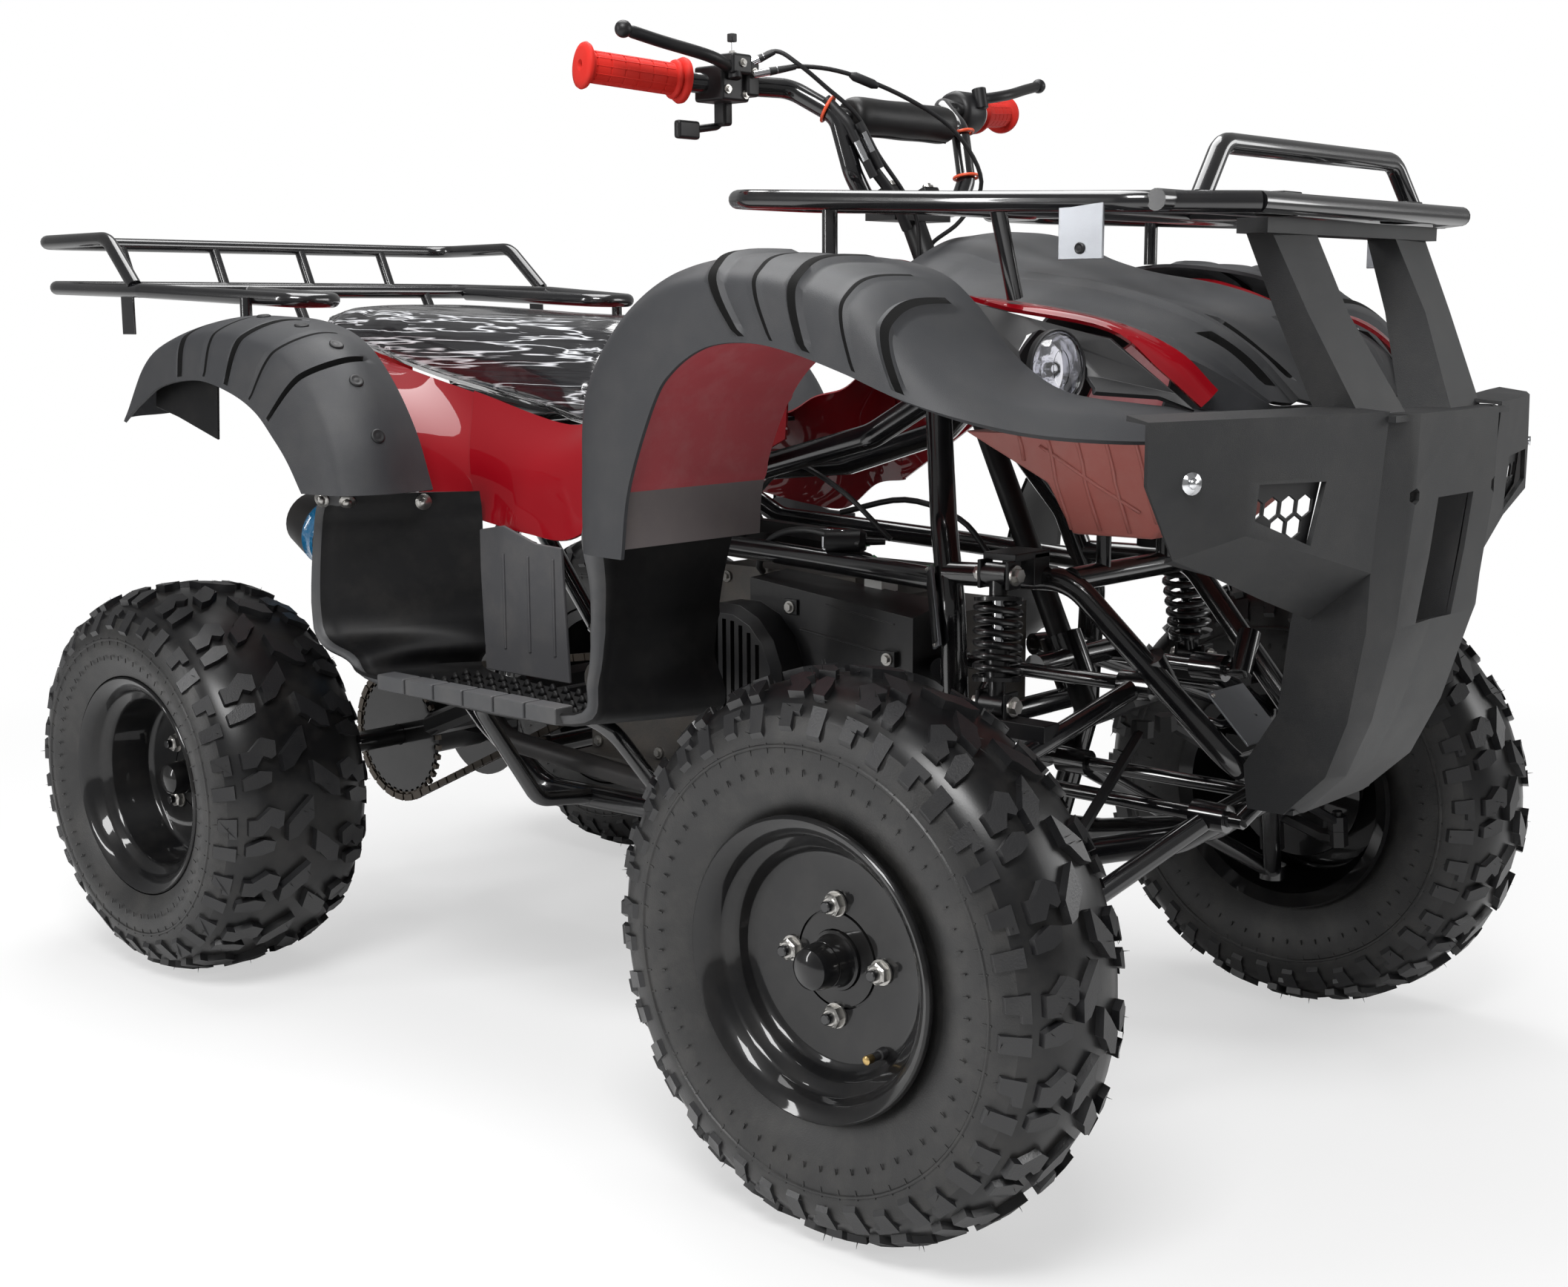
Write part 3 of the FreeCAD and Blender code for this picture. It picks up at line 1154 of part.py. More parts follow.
def nodes():
    parts = {
        "frame": frame(), "engine": engine(), "fan_shroud": fan_shroud(),
        "carburettor": carburettor(), "exhaust": exhaust(), "swingarm": swingarm(),
        "rear_shock": rear_shock(), "chain": chain(), "nose_cowl": nose_cowl(),
        "front_shell": front_shell(), "front_arches": front_arches(),
        "front_liners": front_liners(), "nose_box": nose_box(),
        "headlights": headlights(), "headlight_bezels": headlight_bezels(),
        "front_bumper": front_bumper(), "bumper_grilles": bumper_grilles(),
        "front_rack": front_rack(), "rear_rack": rear_rack(), "tank_cover": tank_cover(),
        "rear_shell": rear_shell(), "rear_arches": rear_arches(), "footwells": footwells(),
        "seat": seat(), "tail_lamp": tail_lamp(), "mud_flaps": mud_flaps(),
        "a_arms": a_arms(), "front_shocks": both_sides(front_shock, -1),
        "steering_column": steering_column(), "handlebar": handlebar(), "bar_pad": bar_pad(),
        "grips": grips(), "bar_controls": bar_controls(), "bar_cables": bar_cables(),
        "rear_axle": rear_axle(), "rear_tyres": rear_tyres(), "rear_rims": rear_rims(),
    }
    for name, side in (("right", -1), ("left", 1)):
        for piece, shape in front_wheel(side).items():
            parts["front_" + piece + "_" + name] = shape
        parts["knuckle_" + name] = knuckle(side)
        parts["tie_rod_" + name] = tie_rod(side)
    return parts


os.makedirs("parts", exist_ok=True)
for name, shape in nodes().items():
    if isinstance(shape, list):
        shape = Part.makeCompound(shape)
    shape.exportStep("parts/" + name + ".step")
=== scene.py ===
"""A red and grey quad bike round its CAD frame. Tables hold millimetres, and meshes hold metres."""
import math
import random

import bmesh
import bpy
from mathutils import Matrix, Vector
from mathutils.bvhtree import BVHTree
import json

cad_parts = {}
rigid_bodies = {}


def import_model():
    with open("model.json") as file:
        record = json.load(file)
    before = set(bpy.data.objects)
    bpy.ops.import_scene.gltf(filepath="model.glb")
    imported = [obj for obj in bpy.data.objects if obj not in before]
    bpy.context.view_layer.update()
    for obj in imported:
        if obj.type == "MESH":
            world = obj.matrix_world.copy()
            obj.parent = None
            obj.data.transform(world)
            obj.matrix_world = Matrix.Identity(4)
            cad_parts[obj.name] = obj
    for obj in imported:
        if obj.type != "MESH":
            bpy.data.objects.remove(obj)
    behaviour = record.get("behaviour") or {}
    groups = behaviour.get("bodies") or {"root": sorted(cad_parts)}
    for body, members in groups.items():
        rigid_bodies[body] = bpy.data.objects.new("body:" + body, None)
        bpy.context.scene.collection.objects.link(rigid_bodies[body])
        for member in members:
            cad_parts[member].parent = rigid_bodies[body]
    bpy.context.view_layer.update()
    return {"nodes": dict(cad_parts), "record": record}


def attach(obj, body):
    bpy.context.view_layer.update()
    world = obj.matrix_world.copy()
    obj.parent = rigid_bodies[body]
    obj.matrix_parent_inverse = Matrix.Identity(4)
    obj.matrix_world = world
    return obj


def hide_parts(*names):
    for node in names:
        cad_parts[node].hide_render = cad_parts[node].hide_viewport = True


for thing in list(bpy.data.objects):
    bpy.data.objects.remove(thing)
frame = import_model()
dice = random.Random(7)

FRONT_AXLE, FRONT_HALF_TRACK, FRONT_RADIUS = -0.6365, 0.452, 0.278
REAR_AXLE, REAR_HALF_TRACK, REAR_RADIUS = 0.5585, 0.418, 0.264
LAYOUT_SHIFT = 39.0
CHASSIS = "chassis"
SIDES = (-1, 1)
BEVEL_ANGLE = 32
FLAT_ANGLE = 1.5
BEND_STEPS = 7

PHOTO_WIDTH, FOCAL_PIXELS, SENSOR = 2115, 2679.9, 36
CAMERA_PLACE = (-1.8533, -1.8089, 0.8833)
YAW_PITCH_ROLL = (42.059, 9.504, -0.272)
# Name, place, target, size and power
SOFTBOXES = [("key", (-2.2, -1.6, 3.2), (0, -0.2, 0.6), (1.6, 1.0), 112),
             ("top", (0.3, 0.5, 3.3), (0, 0.1, 0.6), (1.8, 2.6), 85),
             ("fill", (2.8, -3.2, 1.8), (0, -0.4, 0.6), (1.6, 1.6), 40),
             ("side", (-3.4, 1.4, 1.7), (0, 0.2, 0.6), (0.28, 2.2), 42)]
FLOOR_HALF = 9
WHITE = (1, 1, 1, 1)


def at(x, y, z):
    """A point in metres from the layout's millimetres, with y from the middle of the wheelbase."""
    return Vector((x, y - LAYOUT_SHIFT, z)) / 1000


def held(name, data):
    """An object in the scene for a mesh, a light or a camera."""
    thing = bpy.data.objects.new(name, data)
    bpy.context.scene.collection.objects.link(thing)
    return thing


# Node trees

class Tree:
    """A node tree whose inputs are fed with a value, a node, a socket or the name of a group input."""

    def __init__(self, tree):
        self.tree = tree

    @classmethod
    def group(cls, name, kind, sockets):
        """A new group, with (name, way, kind, value) for each of its sockets."""
        made = cls(bpy.data.node_groups.new(name, kind + "NodeTree"))
        for title, way, sort, value in sockets:
            socket = made.tree.interface.new_socket(title, in_out=way, socket_type="NodeSocket" + sort)
            if value is not None:
                socket.default_value = value
        made.start = made.tree.nodes.new("NodeGroupInput")
        made.end = made.tree.nodes.new("NodeGroupOutput")
        return made

    def fill(self, node, **inputs):
        """Feeds inputs by name, or by place as _0, _1 and so on."""
        for key, value in inputs.items():
            socket = node.inputs[int(key[1:])] if key[0] == "_" else node.inputs[key.replace("_", " ")]
            if isinstance(value, str):
                value = self.start.outputs[value]
            if isinstance(value, bpy.types.Node):
                value = value.outputs[0]
            if isinstance(value, bpy.types.NodeSocket):
                self.tree.links.new(value, socket)
            else:
                socket.default_value = value
        return node

    def add(self, kind, settings=None, **inputs):
        node = self.tree.nodes.new(kind)
        for key, value in (settings or {}).items():
            setattr(node, key, value)
        return self.fill(node, **inputs)

    def math(self, way, *values):
        return self.add("ShaderNodeMath", {"operation": way}, **{f"_{k}": v for k, v in enumerate(values)})

    def object_place(self):
        return self.add("ShaderNodeTexCoord").outputs["Object"]

    def seen(self):
        """1 for rays that show the backdrop: straight from the camera or through glass."""
        path = self.add("ShaderNodeLightPath").outputs
        return self.math("MAXIMUM", path["Is Camera Ray"], path["Is Transmission Ray"])


def new_material(name):
    """A material, its tree and its shader."""
    made = bpy.data.materials.new(name)
    made.use_nodes = True
    return made, Tree(made.node_tree), made.node_tree.nodes["Principled BSDF"]


# Camera, light and floor

def aim_camera():
    yaw, pitch, roll = (math.radians(a) for a in YAW_PITCH_ROLL)
    ahead = Vector((math.cos(yaw) * math.cos(pitch), math.sin(yaw) * math.cos(pitch), -math.sin(pitch)))
    right = Vector((math.sin(yaw), -math.cos(yaw), 0))
    up = right.cross(ahead)
    right, up = (right * math.cos(roll) + up * math.sin(roll), up * math.cos(roll) - right * math.sin(roll))
    data = bpy.data.cameras.new("camera")
    data.sensor_width = SENSOR
    data.lens = FOCAL_PIXELS / PHOTO_WIDTH * SENSOR
    data.clip_end = 60
    camera = held("camera", data)
    camera.matrix_world = Matrix.Translation(CAMERA_PLACE) @ Matrix((right, up, -ahead)).transposed().to_4x4()
    bpy.context.scene.camera = camera


def softbox(name, place, target, size, power):
    data = bpy.data.lights.new(name, "AREA")
    data.shape = "RECTANGLE"
    data.size, data.size_y = size
    data.energy = power
    lamp = held(name, data)
    lamp.location = place
    lamp.rotation_mode = "QUATERNION"
    lamp.rotation_quaternion = (Vector(place) - Vector(target)).to_track_quat("Z", "Y")


def studio():
    """Soft boxes, a world that looks white and lights little, and a floor that fades into it."""
    world = bpy.data.worlds.new("studio")
    bpy.context.scene.world = world
    world.use_nodes = True
    t = Tree(world.node_tree)
    dim = t.fill(world.node_tree.nodes["Background"], Color=WHITE, Strength=0.26)
    white = t.add("ShaderNodeBackground", Color=WHITE, Strength=1.0)
    t.fill(world.node_tree.nodes["World Output"], Surface=t.add("ShaderNodeMixShader", _0=t.seen(), _1=dim, _2=white))
    for lamp in SOFTBOXES:
        softbox(*lamp)

    mesh = bpy.data.meshes.new("floor")
    mesh.from_pydata([(x * FLOOR_HALF, y * FLOOR_HALF, 0) for x, y in ((-1, -1), (1, -1), (1, 1), (-1, 1))], [],
                     [(0, 1, 2, 3)])
    floor = held("floor", mesh)
    surface, t, face = new_material("floor_white")
    t.fill(face, Base_Color=(0.86, 0.86, 0.86, 1), Roughness=0.9, Specular_IOR_Level=0.1)
    glow = t.add("ShaderNodeEmission", Strength=1.0)
    away = t.add("ShaderNodeVectorMath", {"operation": "LENGTH"}, _0=t.object_place()).outputs["Value"]
    fade = t.add("ShaderNodeMapRange", From_Min=0.9, From_Max=2.6, To_Min=0.55, Value=away)
    blend = t.add("ShaderNodeMixShader", _0=t.math("MULTIPLY", t.seen(), fade), _1=face, _2=glow)
    t.fill(surface.node_tree.nodes["Material Output"], Surface=blend)
    mesh.materials.append(surface)
    bpy.context.scene.view_settings.view_transform = "Standard"


# Finishes

def grain_group():
    """Fine moulded grain with soft broad unevenness: gives a height and a roughness."""
    t = Tree.group("moulded_grain", "Shader", [
        ("Grain Scale", "INPUT", "Float", 900.0), ("Unevenness Scale", "INPUT", "Float", 14.0),
        ("Roughness", "INPUT", "Float", 0.5), ("Spread", "INPUT", "Float", 0.1),
        ("Height", "OUTPUT", "Float", None), ("Roughness", "OUTPUT", "Float", None)])
    place = t.object_place()
    fine = t.add("ShaderNodeTexNoise", Vector=place, Scale="Grain Scale", Detail=3.0, Roughness=0.6)
    broad = t.add("ShaderNodeTexNoise", Vector=place, Scale="Unevenness Scale", Detail=2.0, Roughness=0.5)
    gloss = t.math("MULTIPLY_ADD", t.math("SUBTRACT", broad, 0.5), "Spread", "Roughness")
    t.fill(t.end, Height=fine, Roughness=gloss)
    return t.tree


def dust_group():
    """Colour that turns dusty in patches."""
    t = Tree.group("dust_and_wear", "Shader", [
        ("Colour", "INPUT", "Color", (0.1, 0.1, 0.1, 1)), ("Dust", "INPUT", "Color", (0.3, 0.27, 0.23, 1)),
        ("Amount", "INPUT", "Float", 0.2), ("Patch Scale", "INPUT", "Float", 18.0),
        ("Colour", "OUTPUT", "Color", None)])
    patches = t.add("ShaderNodeTexNoise", Vector=t.object_place(), Scale="Patch Scale", Detail=5.0, Roughness=0.65)
    share = t.add("ShaderNodeMapRange", Value=patches, From_Min=0.45, From_Max=0.8, To_Max="Amount")
    t.fill(t.end, Colour=t.add("ShaderNodeMix", {"data_type": "RGBA"}, Factor=share, _6="Colour", _7="Dust").outputs[2])
    return t.tree


GRAIN = grain_group()
WEAR = dust_group()


def finish_of(name, colour, roughness, metallic=0.0, coat=0.0, coat_roughness=0.05, coat_ior=1.5, specular=0.5,
              grain=900.0, bump=0.15, depth=0.0003, spread=0.1, dust=(0.3, 0.27, 0.23), amount=0.1, patch=18.0):
    """A material with grain, uneven gloss and a little dust, all on Object coordinates."""
    made, t, face = new_material(name)
    grained = t.add("ShaderNodeGroup", {"node_tree": GRAIN}, Grain_Scale=grain, Roughness=roughness, Spread=spread)
    dusty = t.add("ShaderNodeGroup", {"node_tree": WEAR}, Colour=(*colour, 1), Dust=(*dust, 1), Amount=amount,
                  Patch_Scale=patch)
    t.fill(face, Metallic=metallic, Coat_Weight=coat, Coat_Roughness=coat_roughness, Coat_IOR=coat_ior,
           Specular_IOR_Level=specular, Roughness=grained.outputs["Roughness"], Base_Color=dusty,
           Normal=t.add("ShaderNodeBump", Strength=bump, Distance=depth, Height=grained))
    return made


def film_vinyl():
    """Dark vinyl under tight clear film: long creases fan out from the seat's nose, and pale streaks along them are
    painted highlight in the base colour.
    """
    made = finish_of("seat_vinyl_in_film", (0.018, 0.018, 0.02), 0.2, coat=1.0, grain=500.0, amount=0.0)
    t = Tree(made.node_tree)
    long = t.add("ShaderNodeMapping", Vector=t.object_place(), Scale=(66, 2.2, 66), Rotation=(0, 0, math.radians(9)))
    noise = t.add("ShaderNodeTexNoise", Vector=long, Scale=1.0, Detail=3.0, Roughness=0.55, Distortion=0.15)
    line = t.math("ABSOLUTE", t.math("SUBTRACT", noise, 0.53))
    # Thin pale streaks along the creases, mixed into the base colour: painted highlight
    painted_crease_highlight = t.add("ShaderNodeMapRange", Value=line, From_Min=0.004, From_Max=0.024, To_Min=0.95, To_Max=0.0)
    highlight_streaked_colour = t.add("ShaderNodeMix", {"data_type": "RGBA"}, Factor=painted_crease_highlight, _6=(0.016, 0.016, 0.018, 1),
                 _7=(0.74, 0.75, 0.78, 1))
    t.fill(made.node_tree.nodes["Principled BSDF"], Base_Color=highlight_streaked_colour.outputs[2],
           Normal=t.add("ShaderNodeBump", Strength=1.0, Distance=0.006, Height=noise))
    return made


def clear_glass(name, colour):
    made, t, face = new_material(name)
    facets = t.add("ShaderNodeTexVoronoi", Vector=t.object_place(), Scale=70.0)
    t.fill(face, Base_Color=(*colour, 1), Transmission_Weight=1.0, Roughness=0.03, IOR=1.45,
           Normal=t.add("ShaderNodeBump", Strength=0.5, Distance=0.002, Height=facets))
    return made


BLACK_GLOSS = finish_of("black_gloss_paint", (0.005, 0.005, 0.006), 0.22, coat=0.9, grain=300, bump=0.05, amount=0.03)
BLACK_SATIN = finish_of("black_satin_paint", (0.006, 0.006, 0.007), 0.42, specular=0.35, grain=500, bump=0.1,
                        amount=0.04)
HOOD_GREY = finish_of("hood_grain_plastic", (0.023, 0.024, 0.027), 0.62, grain=1100, bump=0.55, depth=0.0006,
                      amount=0.05)
BUMPER_GREY = finish_of("bumper_grain_plastic", (0.011, 0.0115, 0.0125), 0.52, grain=1300, bump=0.6, depth=0.0006,
                        amount=0.04)
ARCH_GREY = finish_of("arch_grain_plastic", (0.023, 0.024, 0.027), 0.55, grain=1200, bump=0.5, depth=0.0005,
                      amount=0.04)
GROOVE_BLACK = finish_of("groove_black_plastic", (0.006, 0.006, 0.007), 0.5, grain=800, amount=0.02)
# Near black painted into the sunk grooves, seams and hood slots: painted shade in the recesses
RECESS_SHADE = finish_of("recess_painted_shade", (0.002, 0.002, 0.002), 0.8, specular=0.15, grain=800, amount=0.0)
STEP_BLACK = finish_of("footwell_black_plastic", (0.004, 0.004, 0.0045), 0.5, specular=0.2, bump=0.25, amount=0.03)
EDGE_GREY = finish_of("footwell_edge_grey", (0.046, 0.047, 0.050), 0.5, bump=0.3)
INNER_GREY = finish_of("inner_grey_plastic", (0.050, 0.050, 0.054), 0.5, grain=1000, bump=0.4)
LINER_GREY = finish_of("liner_grey_plastic", (0.135, 0.118, 0.118), 0.5, grain=1000, bump=0.3, amount=0.15)
NOSE_PINK = finish_of("nose_pink_plastic", (0.42, 0.13, 0.11), 0.42, grain=700, bump=0.2, amount=0.25,
                      dust=(0.5, 0.3, 0.26), patch=24)
LINER_RED = finish_of("liner_red_plastic", (0.36, 0.055, 0.065), 0.42, grain=700, bump=0.2, amount=0.25,
                      dust=(0.45, 0.25, 0.25), patch=30)
CANDY_RED = finish_of("candy_red_gloss", (0.20, 0.001, 0.005), 0.5, specular=0.06, coat=1.0, coat_roughness=0.02,
                      coat_ior=1.36, grain=200, bump=0.02, amount=0.0, spread=0.05)
RED_LENS = finish_of("tail_red_lens", (0.42, 0.006, 0.008), 0.12, coat=1.0, grain=400, bump=0.1, amount=0.0)
RUBBER = finish_of("tyre_rubber", (0.012, 0.0118, 0.0118), 0.42, grain=600, bump=0.35, depth=0.0008, amount=0.3,
                   dust=(0.075, 0.07, 0.063), patch=26)
TREAD_RUBBER = finish_of("tread_rubber", (0.008, 0.008, 0.009), 0.36, grain=500, bump=0.3, depth=0.0006, amount=0.18,
                         dust=(0.05, 0.048, 0.044), patch=30, specular=0.6)
# Near-black rubber for the carcass between the lugs: painted shade in the tread's hollows
TREAD_FLOOR_SHADE = finish_of("tread_floor_painted_shade", (0.0035, 0.0035, 0.004), 0.34, specular=0.45, grain=600, amount=0.05)
RIM_BLACK = finish_of("rim_black_paint", (0.004, 0.004, 0.0045), 0.4, coat=0.9, coat_ior=1.4, specular=0.15,
                      grain=400, bump=0.08, amount=0.03)
SPRING_BLACK = finish_of("spring_black_paint", (0.007, 0.007, 0.008), 0.3, coat=0.4, grain=300, bump=0.05, amount=0.02)
CHROME = finish_of("chrome_rod", (0.72, 0.73, 0.75), 0.12, metallic=1.0, grain=200, bump=0.02, amount=0.02)
ZINC = finish_of("zinc_bolts", (0.42, 0.41, 0.39), 0.32, metallic=0.9, amount=0.15)
BRASS = finish_of("brass_valve", (0.55, 0.38, 0.15), 0.3, metallic=1.0, grain=600, bump=0.1)
ALLOY = finish_of("cast_alloy", (0.085, 0.08, 0.075), 0.5, metallic=0.55, grain=420, bump=0.5, depth=0.0008,
                  amount=0.35, dust=(0.20, 0.16, 0.12))
SHROUD_BLACK = finish_of("shroud_black", (0.007, 0.007, 0.008), 0.38, specular=0.4, bump=0.2, amount=0.05)
PIPE_BLACK = finish_of("exhaust_black", (0.014, 0.013, 0.013), 0.5, metallic=0.3, grain=500, bump=0.2, amount=0.15,
                       dust=(0.12, 0.09, 0.07))
CHAIN_STEEL = finish_of("oiled_chain", (0.10, 0.085, 0.07), 0.38, metallic=0.8, grain=700, bump=0.2, amount=0.3,
                        dust=(0.05, 0.03, 0.02))
GRIP_RED = finish_of("grip_red_rubber", (0.56, 0.020, 0.013), 0.6, specular=0.2, bump=0.3, amount=0.05)
PAD_BLACK = finish_of("pad_black_cover", (0.006, 0.006, 0.0065), 0.45, specular=0.35, grain=700, bump=0.3, amount=0.04)
FILM_SEAT = film_vinyl()
LENS = clear_glass("clear_lens", (0.98, 0.98, 1.0))
REFLECTOR = finish_of("lamp_reflector", (0.80, 0.80, 0.82), 0.1, metallic=1.0, grain=60, bump=0.3, depth=0.002,
                      amount=0.0)
BLUE_FILM = finish_of("blue_film", (0.02, 0.20, 0.42), 0.2, coat=0.8, grain=40, bump=0.8, depth=0.006, amount=0.0)
TAB_STEEL = finish_of("brushed_tab_steel", (0.30, 0.31, 0.33), 0.36, metallic=0.85, grain=500, bump=0.3, amount=0.3,
                      dust=(0.12, 0.12, 0.13), patch=9)
TIE_ORANGE = finish_of("orange_ties", (0.75, 0.09, 0.03), 0.4, amount=0.0)
WIRE_GREEN = finish_of("green_wire", (0.05, 0.25, 0.10), 0.4, amount=0.0)
WIRE_WHITE = finish_of("white_wire", (0.65, 0.65, 0.63), 0.4, amount=0.05)

SLOT_FINISH = {
    "frame_paint": BLACK_SATIN, "rim_paint": RIM_BLACK, "engine_alloy": ALLOY, "exhaust_steel": PIPE_BLACK,
    "spring_steel": SPRING_BLACK, "chain_steel": CHAIN_STEEL, "hub_steel": RIM_BLACK, "shroud_plastic": SHROUD_BLACK,
    "textured_plastic": HOOD_GREY, "liner_plastic": LINER_RED, "bumper_plastic": BUMPER_GREY,
    "black_plastic": STEP_BLACK, "cable_sheath": GROOVE_BLACK, "red_gloss": CANDY_RED, "red_lens": RED_LENS,
    "lamp_glass": LENS, "seat_vinyl": FILM_SEAT, "pad_cover": PAD_BLACK, "red_rubber": GRIP_RED,
    "tyre_rubber": RUBBER,
}
NODE_SLOT = {part["node"]: part["material_slot"] for part in frame["record"]["subparts"]}


def dress_nodes():
    """Every solid that stays in view gets the finish of its slot."""
    for node, slot in NODE_SLOT.items():
        frame["nodes"][node].data.materials.clear()
        frame["nodes"][node].data.materials.append(SLOT_FINISH[slot])


# Meshes and pieces

def landed(node, origin, way):
    """Where a line from outside meets a solid of the part, and the way its face looks there."""
    data = frame["nodes"][node].data
    tree = BVHTree.FromPolygons([v.co for v in data.vertices], [list(p.vertices) for p in data.polygons])
    place, normal, _, _ = tree.ray_cast(origin, Vector(way).normalized())
    return (place, normal) if place else None


def drawn_on(node, starts, way, sideways=-1.0):
    """The points where lines meet a solid, as far as its faces look sideways there."""
    hits = [landed(node, start, way) for start in starts]
    return [place for place, normal in filter(None, hits) if abs(normal.x) > sideways]


def mesh_of(work):
    """The bmesh as a mesh, with its faces outward."""
    bmesh.ops.recalc_face_normals(work, faces=work.faces)
    mesh = bpy.data.meshes.new("form")
    work.to_mesh(mesh)
    work.free()
    return mesh


def dressed(mesh, *finishes):
    for finish in finishes:
        mesh.materials.append(finish)
    return mesh


def merged(meshes):
    """One mesh from several, each keeping its finishes."""
    finishes = []
    work = bmesh.new()
    for mesh in meshes:
        first = len(work.faces)
        work.from_mesh(mesh)
        work.faces.ensure_lookup_table()
        own = list(mesh.materials) or [None]
        for face in work.faces[first:]:
            finish = own[min(face.material_index, len(own) - 1)]
            if finish not in finishes:
                finishes.append(finish)
            face.material_index = finishes.index(finish)
    whole = bpy.data.meshes.new("whole")
    work.to_mesh(whole)
    work.free()
    return dressed(whole, *finishes)


def placed(name, mesh, body, stands_for=(), slot=None, sharp=None, finish=None):
    """A piece at the origin, from one mesh or several, that rides on a body and stands for solids of the part."""
    if isinstance(mesh, list):
        mesh = merged(mesh)
    piece = held(name, mesh)
    if finish:
        mesh.materials.clear()
        mesh.materials.append(finish)
    mesh.shade_smooth()
    if sharp:
        mesh.set_sharp_from_angle(angle=math.radians(sharp))
    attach(piece, body)
    if stands_for:
        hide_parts(*stands_for)
    return piece


def baked(piece):
    """The piece with its modifiers turned into plain mesh."""
    graph = bpy.context.evaluated_depsgraph_get()
    graph.update()
    mesh = bpy.data.meshes.new_from_object(piece.evaluated_get(graph), depsgraph=graph)
    piece.modifiers.clear()
    old = piece.data
    piece.data = mesh
    if old.users == 0:
        bpy.data.meshes.remove(old)
    return piece


def released(piece):
    """The mesh of a helper object, which goes."""
    mesh = piece.data
    bpy.data.objects.remove(piece)
    return mesh


def bevelled(mesh, width, segments=2):
    """The mesh with its sharp edges rounded."""
    piece = held("rounding", mesh)
    mesh.shade_smooth()
    bevel = piece.modifiers.new("rounded", "BEVEL")
    bevel.width, bevel.segments = width, segments
    bevel.limit_method = "ANGLE"
    bevel.angle_limit = math.radians(BEVEL_ANGLE)
    bevel.harden_normals = False
    piece.modifiers.new("even", "WEIGHTED_NORMAL").keep_sharp = True
    return released(baked(piece))


def form(work, finish, bevel=0.0, segments=2):
    """The bmesh in one finish, with rounded edges where a width is given."""
    mesh = mesh_of(work)
    return dressed(bevelled(mesh, bevel, segments) if bevel else mesh, finish)


def whole_faces(node):
    """A copy of a solid with its flat faces whole again."""
    work = bmesh.new()
    work.from_mesh(frame["nodes"][node].data)
    bmesh.ops.remove_doubles(work, verts=work.verts, dist=1e-5)
    bmesh.ops.dissolve_limit(work, angle_limit=math.radians(FLAT_ANGLE), verts=work.verts, edges=work.edges)
    mesh = bpy.data.meshes.new(node)
    work.to_mesh(mesh)
    work.free()
    return mesh


def softened(node, name, body, width, finish, segments=2):
    """A solid again as a piece with its edges rounded."""
    placed(name, bevelled(whole_faces(node), width, segments), body, [node], NODE_SLOT[node], None, finish)


def rounded_path(points, bend):
    """The route with its corners turned into arcs."""
    path = [points[0].copy()]
    for before, corner, after in zip(points, points[1:], points[2:]):
        a = (before - corner).normalized()
        b = (after - corner).normalized()
        half = a.angle(b) / 2
        if half > math.radians(88) or bend <= 0:
            path.append(corner.copy())
            continue
        reach = min(bend / math.tan(half), 0.45 * min((before - corner).length, (after - corner).length))
        radius = reach * math.tan(half)
        middle = corner + (a + b).normalized() * (radius / math.sin(half))
        first = corner + a * reach - middle
        last = corner + b * reach - middle
        sweep = math.pi - 2 * half
        for k in range(BEND_STEPS + 1):
            t = k / BEND_STEPS
            path.append(middle + (first * math.sin((1 - t) * sweep) + last * math.sin(t * sweep)) / math.sin(sweep))
    return path + [points[-1].copy()]


def banded(work, rows):
    """Faces between rows with as many points, or one."""
    faces = []
    for one, two in rows:
        for k in range(max(len(one), len(two))):
            if len(one) == 1:
                faces.append(work.faces.new((one[0], two[k], two[k - 1])))
            elif len(two) == 1:
                faces.append(work.faces.new((one[k - 1], one[k], two[0])))
            else:
                faces.append(work.faces.new((one[k - 1], one[k], two[k], two[k - 1])))
    return faces


def pipe(work, points, radius, bend=0.0, sides=16, ends=None):
    """A round tube along a route, closed at its ends; ends gives other radii there."""
    path = rounded_path(points, bend)
    along = (path[1] - path[0]).normalized()
    side = along.cross(Vector((0, 0, 1)))
    if side.length < 0.1:
        side = along.cross(Vector((1, 0, 0)))
    side.normalize()
    up = side.cross(along)
    ring = []
    for k in range(sides):
        t = 2 * math.pi * (k + 0.5) / sides
        ring.append(path[0] + side * (radius * math.cos(t)) + up * (radius * math.sin(t)))
    rings = [ring]
    for i in range(1, len(path)):
        along = (path[i] - path[i - 1]).normalized()
        mitre = along
        if i < len(path) - 1:
            mitre = (along + (path[i + 1] - path[i]).normalized()).normalized()
        ring = [p + along * ((path[i] - p).dot(mitre) / along.dot(mitre)) for p in ring]
        rings.append(ring)
    for index, size in zip((0, -1), ends or ()):
        rings[index] = [path[index] + (p - path[index]) * (size / radius) for p in rings[index]]
    rows = [[work.verts.new(p) for p in r] for r in rings]
    banded(work, zip(rows, rows[1:]))
    work.faces.new(rows[0])
    work.faces.new(rows[-1][::-1])


def tube(work, points, radius, bend=0, side=1, sides=16):
    """A pipe whose route and sizes are in the layout's millimetres."""
    pipe(work, [at(side * x, y, z) for x, y, z in points], radius / 1000, bend / 1000, sides)


def across(half):
    """A route over both sides from its half on the near side."""
    return half + [(-x, y, z) for x, y, z in half[::-1]]


